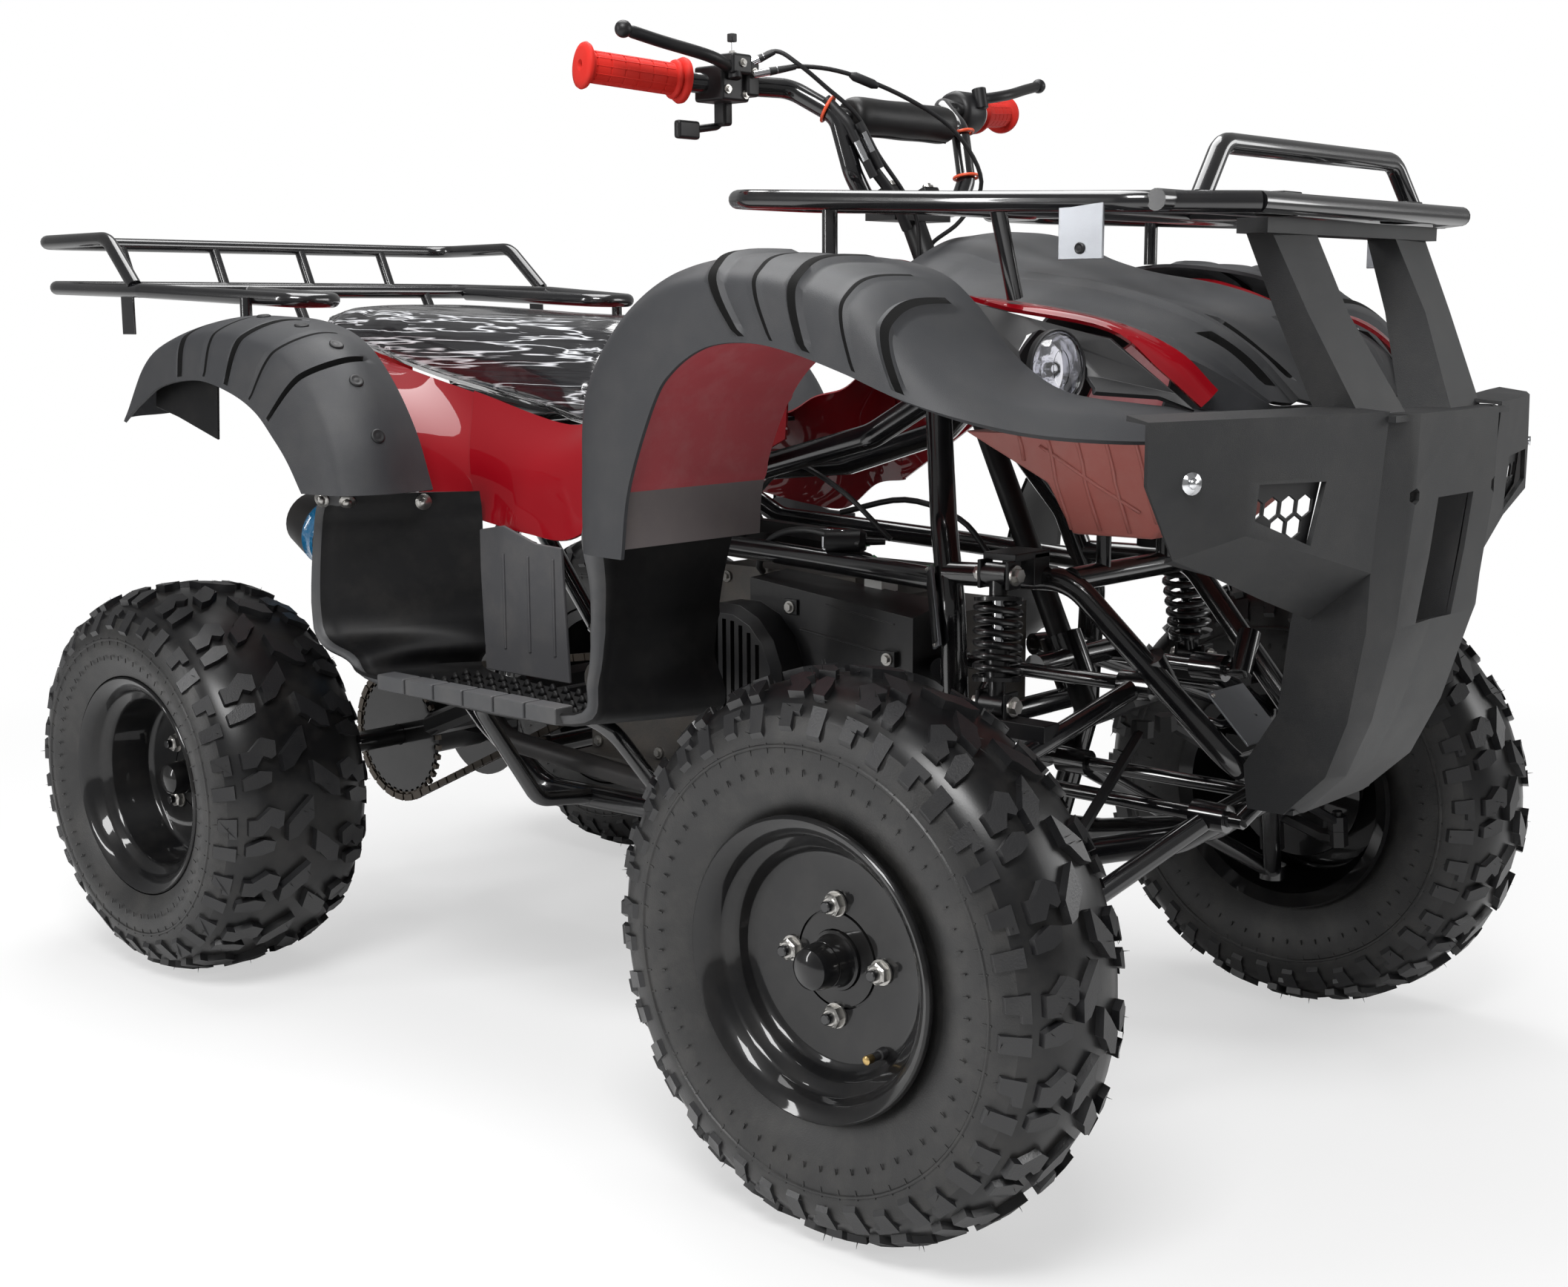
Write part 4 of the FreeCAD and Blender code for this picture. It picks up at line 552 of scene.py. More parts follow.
def spun(work, profile, centre, axis=(1, 0, 0), sides=48, closed=False):
    """A turned form: the profile holds (distance along the axis, radius)."""
    way = Vector(axis).normalized()
    side = way.cross(Vector((0, 0, 1))) if abs(way.z) < 0.9 else way.cross(Vector((1, 0, 0)))
    side.normalize()
    up = way.cross(side)
    turns = [2 * math.pi * k / sides for k in range(sides)]
    rows = []
    for x, r in profile:
        if r < 1e-6:
            rows.append([work.verts.new(centre + way * x)])
        else:
            rows.append([work.verts.new(centre + way * x + (side * math.cos(t) + up * math.sin(t)) * r) for t in turns])
    faces = banded(work, list(zip(rows, rows[1:])) + ([(rows[-1], rows[0])] if closed else []))
    if not closed:
        faces += [work.faces.new(row) for row in (rows[0], rows[-1]) if len(row) > 2]
    return faces


def collar(work, centre, axis, first, last, inner, outer, sides=24):
    """A ring with square edges from first to last along an axis."""
    spun(work, [(first, inner), (first, outer), (last, outer), (last, inner)], centre, axis, sides, closed=True)


def box(work, low, high, turn=None, about=None):
    """A plain block, turned by a matrix about a point if one is given."""
    corners = [Vector((x, y, z)) for x in (low[0], high[0]) for y in (low[1], high[1]) for z in (low[2], high[2])]
    if turn is not None:
        corners = [about + turn @ (c - about) for c in corners]
    v = [work.verts.new(c) for c in corners]
    for q in ((0, 1, 3, 2), (4, 6, 7, 5), (0, 4, 5, 1), (2, 3, 7, 6), (0, 2, 6, 4), (1, 5, 7, 3)):
        work.faces.new([v[i] for i in q])


def plate(work, side, x, y, z):
    """A block between body points, on one side of the bike."""
    xs = sorted((side * x[0], side * x[1]))
    box(work, at(xs[0], y[0], z[0]), at(xs[1], y[1], z[1]))


def prism(work, low, high):
    """A form between two outlines with as many points."""
    low, high = zip(*[(work.verts.new(a), work.verts.new(b)) for a, b in zip(low, high)])
    banded(work, [(low, high)])
    work.faces.new(high)
    work.faces.new(low[::-1])


def curve_value(points, u):
    """A smooth line through the points, at a whole or part index."""
    last = len(points) - 1
    i = min(int(u), last - 1)
    t = u - i
    p1, p2 = points[i], points[i + 1]
    p0 = points[i - 1] if i > 0 else p1 * 2 - p2
    p3 = points[i + 2] if i + 2 <= last else p2 * 2 - p1
    return (p1 * 2 + (p2 - p0) * t + (p0 * 2 - p1 * 5 + p2 * 4 - p3) * t ** 2
            + (p1 * 3 - p0 - p2 * 3 + p3) * t ** 3) / 2


def smooth_line(points, steps):
    return [curve_value(points, k / steps) for k in range((len(points) - 1) * steps + 1)]


def smooth_grid(rows, along, across_):
    """A dense grid of points through the rows, smooth both ways."""
    tall = [smooth_line([row[j] for row in rows], along) for j in range(len(rows[0]))]
    return [smooth_line([column[i] for column in tall], across_) for i in range(len(tall[0]))]


def grid_normal(grid, i, j):
    down = grid[min(i + 1, len(grid) - 1)][j] - grid[max(i - 1, 0)][j]
    normal = down.cross(grid[i][min(j + 1, len(grid[0]) - 1)] - grid[i][max(j - 1, 0)])
    return normal.normalized() if normal.length > 1e-12 else Vector((0, 0, 1))


def on_grid(grid, u, v, lift=0.0):
    """A point of a dense grid and the way its outer face looks."""
    i = min(max(int(u * (len(grid) - 1)), 1), len(grid) - 2)
    j = min(max(int(v * (len(grid[0]) - 1)), 1), len(grid[0]) - 2)
    normal = grid_normal(grid, i, j)
    return grid[i][j] + normal * lift, normal


def shell_of(name, grid, finishes, stands_for, slot, wall=-0.004, mirror=True, tint=None, sink=None):
    """A thin moulded panel on a dense grid, with its mirror image where that is asked for.

    A positive wall grows to the side of the grid's normal. tint and sink give a finish and a depth
    from a face's or a point's place in its grid.
    """
    work = bmesh.new()
    rows, cols = len(grid), len(grid[0])
    normals = [[grid_normal(grid, i, j) for j in range(cols)] for i in range(rows)]
    for flip in (1, -1) if mirror else (1,):
        layers = []
        for offset in (0.0, wall):
            layer = []
            for i in range(rows):
                line = []
                for j in range(cols):
                    dent = sink(i / (rows - 1), j / (cols - 1)) if sink else 0.0
                    p = grid[i][j] + normals[i][j] * (offset + dent * (1 if wall > 0 else -1))
                    line.append(work.verts.new((p.x * flip, p.y, p.z)))
                layer.append(line)
            layers.append(layer)
        for layer in layers:
            for i in range(rows - 1):
                for j in range(cols - 1):
                    face = work.faces.new((layer[i][j], layer[i][j + 1], layer[i + 1][j + 1], layer[i + 1][j]))
                    if tint:
                        face.material_index = tint((i + 0.5) / (rows - 1), (j + 0.5) / (cols - 1))
        rim = [(0, j) for j in range(cols)] + [(i, cols - 1) for i in range(1, rows)]
        rim += [(rows - 1, j) for j in range(cols - 2, -1, -1)] + [(i, 0) for i in range(rows - 2, 0, -1)]
        for (i, j), (k, m) in zip(rim, rim[1:] + rim[:1]):
            work.faces.new((layers[0][i][j], layers[0][k][m], layers[1][k][m], layers[1][i][j]))
    placed(name, dressed(mesh_of(work), *finishes), CHASSIS, stands_for, slot, 45)


# Geometry Nodes that repeat things

def repeater(name, inputs):
    """A group that takes a form, (name, kind, value) inputs and a finish, and gives one geometry."""
    ways = [(title, "INPUT", kind, value) for title, kind, value in inputs]
    return Tree.group(name, "Geometry", [
        ("Geometry", "INPUT", "Geometry", None), *ways, ("Finish", "INPUT", "Material", None),
        ("Geometry", "OUTPUT", "Geometry", None)])


def ended(t, last):
    real = t.add("GeometryNodeRealizeInstances", Geometry=last)
    t.fill(t.end, _0=t.add("GeometryNodeSetMaterial", Geometry=real, Material="Finish"))
    return t.tree


def copies(t, points, instance, **more):
    return ended(t, t.add("GeometryNodeInstanceOnPoints", Points=points, Instance=instance, **more))


def ring_tree():
    """Copies of the given form turned about the X axis through a centre."""
    t = repeater("ring_of_copies", [("Count", "Int", 20), ("First Angle", "Float", 0.0),
                                    ("Centre", "Vector", (0, 0, 0))])
    line = t.add("GeometryNodeMeshLine", {"mode": "OFFSET"}, Count="Count", Start_Location="Centre", Offset=(0, 0, 0))
    step = t.math("DIVIDE", 2 * math.pi, "Count")
    turn = t.math("MULTIPLY_ADD", t.add("GeometryNodeInputIndex"), step, "First Angle")
    return copies(t, line, "Geometry", Rotation=t.add("ShaderNodeCombineXYZ", X=turn))


def row_tree():
    """Copies of the given form in a straight row."""
    t = repeater("row_of_copies", [("Count", "Int", 6), ("Step", "Vector", (0, 0, 0.01))])
    line = t.add("GeometryNodeMeshLine", {"mode": "OFFSET"}, Count="Count", Start_Location=(0, 0, 0), Offset="Step")
    return copies(t, line, "Geometry")


def coil_tree():
    """A wire spring upright along Z."""
    t = repeater("wire_coil", [("Turns", "Float", 6.0), ("Radius", "Float", 0.02), ("Height", "Float", 0.1),
                               ("Wire Radius", "Float", 0.004)])
    spiral = t.add("GeometryNodeCurveSpiral", Resolution=20, Rotations="Turns", Start_Radius="Radius",
                   End_Radius="Radius", Height="Height")
    circle = t.add("GeometryNodeCurvePrimitiveCircle", Resolution=8, Radius="Wire Radius")
    return ended(t, t.add("GeometryNodeCurveToMesh", Curve=spiral, Profile_Curve=circle, Fill_Caps=True))


def bolt_tree():
    """A hexagon head on a washer at each point, along the point's aim."""
    t = repeater("hexagon_bolts", [("Head Size", "Float", 0.006), ("Washer", "Float", 1.45),
                                   ("Head Height", "Float", 0.75)])
    tall = [t.math("MULTIPLY", "Head Size", "Head Height") for _ in range(2)]
    head = t.add("GeometryNodeMeshCylinder", Vertices=6, Radius="Head Size", Depth=tall[0])
    up = t.add("ShaderNodeCombineXYZ", Z=t.math("ADD", t.math("MULTIPLY", tall[1], 0.5), 0.0012))
    washer = t.add("GeometryNodeMeshCylinder", Vertices=16, Radius=t.math("MULTIPLY", "Head Size", "Washer"),
                   Depth=0.0024)
    bolt = t.add("GeometryNodeJoinGeometry", _0=t.add("GeometryNodeTransform", Geometry=head, Translation=up))
    t.fill(bolt, _0=washer)
    aim = t.add("GeometryNodeInputNamedAttribute", {"data_type": "FLOAT_VECTOR"})
    aim.inputs["Name"].default_value = "aim"
    turn = t.add("FunctionNodeAlignRotationToVector", {"axis": "Z"}, Vector=aim.outputs["Attribute"])
    return copies(t, "Geometry", bolt, Rotation=turn)


def hair_tree():
    """Thin mould hairs that stand up from random places on the given form."""
    t = repeater("mould_hairs", [("Density", "Float", 900.0), ("Length", "Float", 0.006), ("Seed", "Int", 3)])
    spread = t.add("GeometryNodeDistributePointsOnFaces", Mesh="Geometry", Density="Density", Seed="Seed")
    hair = t.add("GeometryNodeMeshCone", Vertices=3, Radius_Bottom=0.0006, Radius_Top=0.0001, Depth="Length")
    size = t.add("FunctionNodeRandomValue", {"data_type": "FLOAT"}, Seed="Seed", _2=0.4, _3=1.3)
    return copies(t, spread, hair, Rotation=spread.outputs["Rotation"], Scale=size.outputs[1])


def link_tree():
    """Links set end to end along a closed path, every other one narrower."""
    t = repeater("chain_links", [("Count", "Int", 90), ("Width", "Float", 0.009), ("Pitch", "Float", 0.0127)])
    points = t.add("GeometryNodeResampleCurve", Curve=t.add("GeometryNodeMeshToCurve", Mesh="Geometry"), Count="Count")
    link = t.add("GeometryNodeJoinGeometry")
    for side in (-0.5, 0.5):
        size = t.add("ShaderNodeCombineXYZ", X=0.0014, Y=t.math("MULTIPLY", "Pitch", 1.5), Z=0.0095)
        aside = t.add("ShaderNodeCombineXYZ", X=t.math("MULTIPLY", "Width", side))
        cheek = t.add("GeometryNodeMeshCube", Size=size)
        t.fill(link, _0=t.add("GeometryNodeTransform", Geometry=cheek, Translation=aside))
    roller = t.add("GeometryNodeMeshCylinder", Vertices=10, Radius=0.0038, Depth="Width")
    t.fill(link, _0=t.add("GeometryNodeTransform", Geometry=roller, Rotation=(0, math.pi / 2, 0)))
    turn = t.add("FunctionNodeAlignRotationToVector", {"axis": "Y", "pivot_axis": "X"},
                 Vector=t.add("GeometryNodeInputTangent"))
    wide = t.math("MULTIPLY_ADD", t.math("MODULO", t.add("GeometryNodeInputIndex"), 2.0), -0.3, 1.0)
    return copies(t, points, link, Rotation=turn, Scale=t.add("ShaderNodeCombineXYZ", X=wide, Y=1.0, Z=1.0))


TREES = {"ring": ring_tree(), "row": row_tree(), "coil": coil_tree(), "bolts": bolt_tree(), "hairs": hair_tree(),
         "links": link_tree()}


def grown(kind, mesh, finish, **values):
    """The plain mesh that a tree makes from a form."""
    piece = held("growing", mesh)
    live = piece.modifiers.new("grown", "NODES")
    live.node_group = TREES[kind]
    sockets = {item.name: item.identifier for item in live.node_group.interface.items_tree
               if item.item_type == "SOCKET" and item.in_out == "INPUT"}
    for key, value in {**values, "Finish": finish}.items():
        live[sockets[key.replace("_", " ")]] = value
    return released(baked(piece))


def bolts(places, finish, size=0.006, washer=1.45, height=0.75):
    """Bolt heads at (point, aim) pairs."""
    mesh = bpy.data.meshes.new("bolt_points")
    mesh.from_pydata([p for p, _ in places], [], [])
    aims = mesh.attributes.new("aim", "FLOAT_VECTOR", "POINT")
    for k, (_, aim) in enumerate(places):
        aims.data[k].vector = Vector(aim).normalized()
    return grown("bolts", mesh, finish, Head_Size=size, Washer=washer, Head_Height=height)


def plugs(places, radius=0.009):
    """Low round push plugs at (point, aim) pairs."""
    work = bmesh.new()
    for place, aim in places:
        spun(work, [(-0.001, radius), (0.0012, radius), (0.0022, radius * 0.8), (0.0014, radius * 0.62),
                    (0.0014, radius * 0.3), (0.0022, 0.0)], place, aim, 18)
    return form(work, GROOVE_BLACK)


def mirrored(places):
    return places + [(Vector((-p.x, p.y, p.z)), Vector((-a.x, a.y, a.z))) for p, a in places]


# Wheels

# Half width, radius and lug height, how many pitches go round, and the seed of the hairs
FRONT_TYRE, REAR_TYRE = (79, 278, 9, 20, 5), (116, 264, 10, 18, 9)
# Share of the lug height, and the outline as shares of the half width and of the pitch
TREAD = [(1.0, [(0.02, -0.12), (0.16, 0.02), (0.34, 0.22), (0.34, 0.46), (0.22, 0.42), (0.08, 0.24), (0.02, 0.20)]),
         (0.92, [(0.38, 0.02), (0.52, -0.06), (0.66, 0.10), (0.74, 0.10), (0.74, 0.34), (0.62, 0.34), (0.54, 0.20),
                 (0.46, 0.26), (0.40, 0.22)]),
         (0.92, [(0.48, 0.44), (0.60, 0.40), (0.76, 0.50), (0.76, 0.66), (0.62, 0.64), (0.50, 0.58)]),
         (0.62, [(0.83, 0.08), (0.95, 0.10), (0.95, 0.30), (0.89, 0.30), (0.89, 0.40), (0.83, 0.40)]),
         (0.62, [(0.83, 0.56), (0.97, 0.58), (0.97, 0.80), (0.83, 0.78)])]
# Steps from the wall's point that carries the ridge
RIDGE = [(0.0002, -0.004), (0.0016, -0.0052), (0.0016, -0.0072), (0.0002, -0.0084)]
RIDGE_POINT = 5
# Turned forms hold (distance along the axis, radius)
CAP = [(-0.004, 0.029), (0.004, 0.029), (0.0045, 0.026), (0.007, 0.0245), (0.010, 0.0235), (0.0215, 0.0226),
       (0.0219, 0.0214), (0.0227, 0.0214), (0.0231, 0.0225), (0.034, 0.0215), (0.041, 0.0195), (0.045, 0.014),
       (0.0465, 0.0)]
NUT = [(18, ZINC, [(0, 0.0125), (0.002, 0.0125), (0.0021, 0.0095), (0.010, 0.0092), (0.0115, 0.0075)]),
       (12, SPRING_BLACK, [(0.009, 0.0058), (0.017, 0.0056), (0.018, 0.0045)]),
       (6, ZINC, [(0.002, 0.0112), (0.009, 0.0112), (0.0105, 0.0095)])]
VALVE = [(GROOVE_BLACK, [(0, 0.0062), (0.008, 0.0055), (0.009, 0.004), (0.018, 0.004)]),
         (BRASS, [(0.018, 0.0034), (0.019, 0.0044), (0.027, 0.0044), (0.028, 0.003)])]


def tyre_line(half, radius, lug):
    """Half the tyre's outer line, from the crown to the bead, as (x, radius) points."""
    crown = radius - lug
    return [(0, crown), (half * 0.35, crown - 1.5), (half * 0.58, crown - 6), (half * 0.76, crown - 15),
            (half * 0.90, crown - 29), (half * 0.985, crown - 50), (half * 0.995, crown - 68),
            (half * 0.95, crown - 88), (half * 0.87, crown - 106), (half * 0.80, 149), (half * 0.77, 144)]


def line_radius(line, x):
    for (x0, r0), (x1, r1) in zip(line, line[1:]):
        if x <= x1 + 1e-9:
            return r0 + (r1 - r0) * (x - x0) / max(x1 - x0, 1e-9)
    return line[6][1]


def tread_pitch(line, half, radius, lug, count):
    """The blocks of one pitch: a chevron on the crown, a hook on each side and two shoulder steps."""
    pitch = 2 * math.pi * radius / count
    work = bmesh.new()
    for side, shift in ((1, 0.0), (-1, pitch / 2)):
        for share, outline in TREAD:
            low, high = [], []
            for x, s in outline:
                x, turn = side * x * half, (s * pitch + shift) / radius
                base = line_radius(line, min(abs(x), half * 0.98))
                slope = min(1.0, (abs(x) / half - 0.5) * 1.6) if abs(x) > half * 0.5 else 0.0
                for ring, grow in ((low, -4.0), (high, lug * share)):
                    r = base + grow * (1 - 0.45 * slope)
                    out = (x + math.copysign(grow * 0.75 * slope, x)) if grow > 0 else x
                    ring.append((out / 1000, r * math.sin(turn) / 1000, -r * math.cos(turn) / 1000))
            prism(work, low, high)
    return mesh_of(work)


def tyre_meshes(centre, half, radius, lug, count, seed):
    """Carcass with a ridge on each wall, lugs, mould hairs and the ticks round the walls; the carcass between the lugs
    is darker, as painted shade.
    """
    line = tyre_line(half, radius, lug)
    wall = []
    for k, (x, r) in enumerate((x / 1000, r / 1000) for x, r in line):
        wall += [(x, r)] + ([(x + a, r + b) for a, b in RIDGE] if k == RIDGE_POINT else [])
    profile = [(-x, r) for x, r in wall[::-1]] + wall[1:] + [(0.72 * half / 1000, 0.131), (-0.72 * half / 1000, 0.131)]
    work = bmesh.new()
    # Faces of the carcass between the lugs get the darker rubber: painted shade
    for face in spun(work, profile, centre, sides=96, closed=True):
        middle = face.calc_center_median() - centre
        under = abs(middle.x) < 0.93 * half / 1000 and math.hypot(middle.y, middle.z) > (radius - lug - 50) / 1000
        face.material_index = int(under)
    carcass = dressed(mesh_of(work), RUBBER, TREAD_FLOOR_SHADE)
    lugs = grown("ring", tread_pitch(line, half, radius, lug, count), TREAD_RUBBER, Count=count, Centre=centre)
    hairs = grown("hairs", lugs.copy(), RUBBER, Density=900.0, Seed=seed)
    marks = bmesh.new()
    for side in SIDES:
        for depth, long in ((58, 5.0), (80, 3.0)):
            x, r = side * 0.990 * half / 1000, (radius - lug - depth) / 1000
            box(marks, (x - 0.0006, -0.0007, -r - long / 1000), (x + 0.0006, 0.0007, -r + long / 1000))
    return [carcass, lugs, hairs, grown("ring", mesh_of(marks), RUBBER, Count=60, Centre=centre)]


def rim_profile(half, disc):
    """Pressed rim with a rolled lip, a stepped barrel and its disc, as a closed (x, radius) line."""
    outer = [(half - 6, 147), (half - 1.5, 146.5), (half + 0.4, 144), (half - 1, 140), (half - 5, 134),
             (half - 11, 128.5), (half - 19, 126), (half - 23, 123), (half - 26, 115), (half - 33, 111.5),
             (disc + 10, 109), (disc + 5, 106), (disc + 3, 100)]
    face = [(disc + 1.5, 70), (disc + 2.2, 48.5), (disc - 0.5, 48), (disc - 0.5, 46.5), (disc + 2.6, 46),
            (disc + 3, 30), (disc - 3, 30), (disc - 3, 102), (disc - 1, 111)]
    inner = [(-half * 0.2, 112), (-half * 0.4, 126), (-half + 8, 128), (-half, 144), (-half + 6, 147)]
    back = [(-half + 11, 131), (-half * 0.35, 129.5), (0, 116), (half * 0.3, 116), (half * 0.5, 129.5),
            (half - 11, 131)]
    return [(x / 1000, r / 1000) for x, r in outer + face + inner + back]


def rim_meshes(centre, side, half, disc):
    work = bmesh.new()
    spun(work, [(side * x, r) for x, r in rim_profile(half, disc)], centre, sides=72, closed=True)
    made = [form(work, RIM_BLACK)]
    for finish, line in VALVE:
        work = bmesh.new()
        spun(work, line, centre + Vector((side * (disc + 2) / 1000, -0.058, -0.078)), (side, 0, 0), 14)
        made.append(form(work, finish))
    return made


def hub_meshes(centre, side, face, inner, nut_face, angle=0.0):
    """Hub with its dust cap and what is behind the wheel, and four nuts with washers and stud ends."""
    work = bmesh.new()
    spun(work, [(side * x, r) for x, r in CAP], centre + Vector((side * face / 1000, 0, 0)), sides=40)
    spun(work, [(side * x / 1000, r / 1000) for x, r in inner], centre, sides=40)
    made = [form(work, RIM_BLACK)]
    for sides, finish, line in NUT:
        work = bmesh.new()
        spun(work, line, Vector((0, 0, -0.055)), (side, 0, 0), sides)
        where = centre + Vector((side * nut_face / 1000, 0, 0))
        made.append(grown("ring", mesh_of(work), finish, Count=4, Centre=where, First_Angle=angle))
    return made


def make_wheels():
    for name, side in (("right", -1), ("left", 1)):
        centre = Vector((side * FRONT_HALF_TRACK, FRONT_AXLE, FRONT_RADIUS))
        inner = [(-33, 28), (-30, 87), (-26, 88), (-25.5, 34), (14, 34), (16, 66), (23.5, 66), (23.5, 30)]
        for part, meshes, slot, sharp in (("tyre", tyre_meshes(centre, *FRONT_TYRE), "tyre_rubber", 35),
                                          ("rim", rim_meshes(centre, side, 77, 27), "rim_paint", 50),
                                          ("hub", hub_meshes(centre, side, 29, inner, 29.5), "hub_steel", 35)):
            placed(f"{part}_front_{name}", meshes, "front_wheel_" + name, [f"front_{part}_{name}"], slot, sharp)
    tyres, rims, hubs = [], [], []
    for side in SIDES:
        centre = Vector((side * REAR_HALF_TRACK, REAR_AXLE, REAR_RADIUS))
        tyres += tyre_meshes(centre, *REAR_TYRE)
        rims += rim_meshes(centre, side, 103, 9)
        inner = [(-69, 30), (-6, 30), (-4, 66), (4, 66), (4.2, 30)]
        hubs += hub_meshes(centre, side, 11, inner, 12, math.radians(45))
    axle, teeth = bmesh.new(), bmesh.new()
    middle = Vector((0, REAR_AXLE, REAR_RADIUS))
    spun(axle, [(-0.40, 0.013), (-0.40, 0.015), (0.40, 0.015), (0.40, 0.013)], middle, sides=24)
    collar(axle, middle, (1, 0, 0), 0.070, 0.074, 0.030, 0.088, 48)
    collar(axle, middle, (1, 0, 0), -0.087, -0.081, 0.016, 0.087, 48)
    box(teeth, (-0.087, -0.0035, -0.094), (-0.081, 0.0035, -0.084))
    hubs += [form(axle, RIM_BLACK), grown("ring", mesh_of(teeth), CHAIN_STEEL, Count=38, Centre=middle)]
    placed("tyres_rear", tyres, "rear_axle", ["rear_tyres"], "tyre_rubber", 35)
    placed("rims_rear", rims, "rear_axle", ["rear_rims"], "rim_paint", 50)
    placed("axle_and_hubs", hubs, "rear_axle", ["rear_axle"], "hub_steel", 35)


# Body panels

# Stations from front to back or along an edge. HOOD and POD: y and the near half in (x, z)
HOOD = [(-400, ((-251, 884), (-200, 903), (-130, 934), (-60, 960), (0, 965))),
        (-470, ((-259, 894), (-205, 913), (-140, 940), (-62, 963), (0, 967))),
        (-530, ((-262.7, 899), (-205, 913), (-135, 926), (-60, 940), (0, 943))),
        (-640, ((-253, 892), (-195, 903), (-125, 910), (-55, 903), (0, 898))),
        (-730, ((-240.7, 875), (-180, 882), (-110, 884), (-50, 878), (0, 872))),
        (-800, ((-216, 840), (-160, 856), (-105, 848), (-48, 833), (0, 828))),
        (-850, ((-146, 796), (-125, 804), (-95, 798), (-50, 792), (0, 790)))]
# First and last share along the hood, and across it from either edge
HOOD_SLOTS = ((0.757, 0.945, 0.186, 0.236), (0.695, 0.905, 0.309, 0.361))
LIP = [(-232, -796, 836), (-214, -804, 836), (-180, -829, 815), (-146, -849, 794), (-80, -850, 791), (0, -850, 788)]
STRIP = [[(-316, -330, 892), (-276, -330, 902), (-246, -330, 876)],
         [(-316, -420, 916), (-284, -420, 914), (-254, -420, 890)],
         [(-316, -500, 920), (-288, -500, 910), (-264, -500, 898)],
         [(-300, -565, 908), (-284, -560, 903), (-264, -555, 899)],
         [(-280, -640, 886), (-272, -635, 890), (-256, -630, 892)],
         [(-262, -742, 866), (-255, -738, 872), (-242, -730, 874)],
         [(-248, -790, 828), (-240, -794, 838), (-222, -792, 846)],
         [(-230, -824, 794), (-222, -828, 801), (-204, -826, 809)]]
# Arches: (y, z) of the crown and of the lip, outer and inner x, and the inner edge where it differs
FRONT_ARCH = [((-243.5, 640), (-338, 640), 503, -427), ((-240.5, 716), (-350, 712), 503, -427),
              ((-240, 800), (-385, 793), 503, -300), ((-286, 870), (-412, 826), 503, -300),
              ((-355, 916), (-456, 849), 503, -300), ((-440, 933), (-508, 854), 503, -300),
              ((-520, 929), (-562, 846), 503, -304), ((-590, 914), (-628, 827), 502, -318),
              ((-640, 884), (-686, 805), 496, -330), ((-690, 838), (-738, 786), 470, -338),
              ((-735, 806), (-778, 773), 424, -322), ((-782, 794), (-820, 766), 356, -272),
              ((-828, 786), (-850, 764), 280, -214)]
REAR_ARCH = [((172, 669), (259, 669), 470, -330, (184, 669)), ((190, 738), (286, 706), 470, -330, (213, 738)),
             ((226, 800), (314, 734), 470, -330, (256, 800)), ((285, 850), (350, 764), 470, -330, (308, 846)),
             ((370, 872), (402, 786), 470, -330, (376, 870)), ((466, 880), (474, 800), 470, -330, (466, 878)),
             ((568, 864), (556, 792), 470, -330, (562, 864)), ((630, 832), (612, 770), 468, -330, (620, 834)),
             ((680, 752), (672, 742), 462, -330, (672, 760))]
LINER = [(-322, 648), (-326, 694), (-342, 745), (-368, 795), (-400, 830), (-448, 858)]
POD = [(-262, ((-176, 740), (-160, 850), (-84, 925), (0, 940))),
       (-190, ((-196, 700), (-176, 815), (-92, 895), (0, 908))),
       (-112, ((-222, 660), (-196, 790), (-100, 862), (0, 876)))]
SIDE_PANEL = [[(-222, -114, 660), (-196, -114, 790), (-164, -112, 824)],
              [(-240, -52, 650), (-210, -60, 745), (-178, -50, 782)],
              [(-256, 16, 612), (-226, 10, 700), (-184, 10, 768)],
              [(-258, 90, 614), (-236, 100, 690), (-184, 90, 742)],
              [(-259, 182, 626), (-244, 214, 700), (-184, 276, 780)]]
REAR_SHELL = [[(-259, 183.2, 626), (-244, 215.2, 700), (-184, 277.2, 780)],
              [(-300, 262, 669), (-272, 330, 752), (-186, 390, 804)],
              [(-326, 320, 790), (-280, 420, 824), (-186, 480, 824)],
              [(-326, 420, 850), (-280, 520, 842), (-184, 570, 842)],
              [(-326, 560, 846), (-270, 640, 836), (-150, 700, 832)]]
# x and the tray's line in (y, z)
FOOT = [(-432, ((-226, 697), (-200, 650), (-211, 586), (-202, 494), (-161, 450), (163, 450), (237, 466), (301, 496),
                (290, 628), (269, 670))),
        (-420, ((-236, 692), (-224, 650), (-226, 586), (-212, 494), (-168, 440), (160, 440), (226, 470), (288, 500),
                (280, 628), (258, 664))),
        (-350, ((-262, 680), (-250, 650), (-244, 586), (-232, 500), (-200, 438), (160, 438), (196, 474), (226, 508),
                (220, 628), (212, 664))),
        (-272, ((-276, 668), (-264, 640), (-246, 580), (-234, 510), (-222, 436), (140, 436), (158, 470), (162, 510),
                (162, 628), (166, 664)))]
INNER_PANEL = [(4, 440), (160, 440), (168, 616), (120, 624), (60, 606), (14, 604)]
# y, half width, and the heights of the lower and the upper face
SEAT = [(-92, 60, 853, 868), (-20, 122, 792, 868), (50, 152, 759, 868), (100, 158, 746, 870), (200, 160, 766, 872),
        (380, 162, 798, 878), (520, 160, 830, 886), (610, 154, 856, 890), (666, 134, 871, 885)]
GROOVE_HALF, GROOVE_DEPTH = 0.0068, 0.005


def points(rows):
    return [[at(*p) for p in row] for row in rows]


def full_width(stations):
    """Rows over both sides from (y, near half) stations whose last point is in the middle."""
    return points([[(x, y, z) for x, z in half] + [(-x, y, z) for x, z in half[-2::-1]] for y, half in stations])


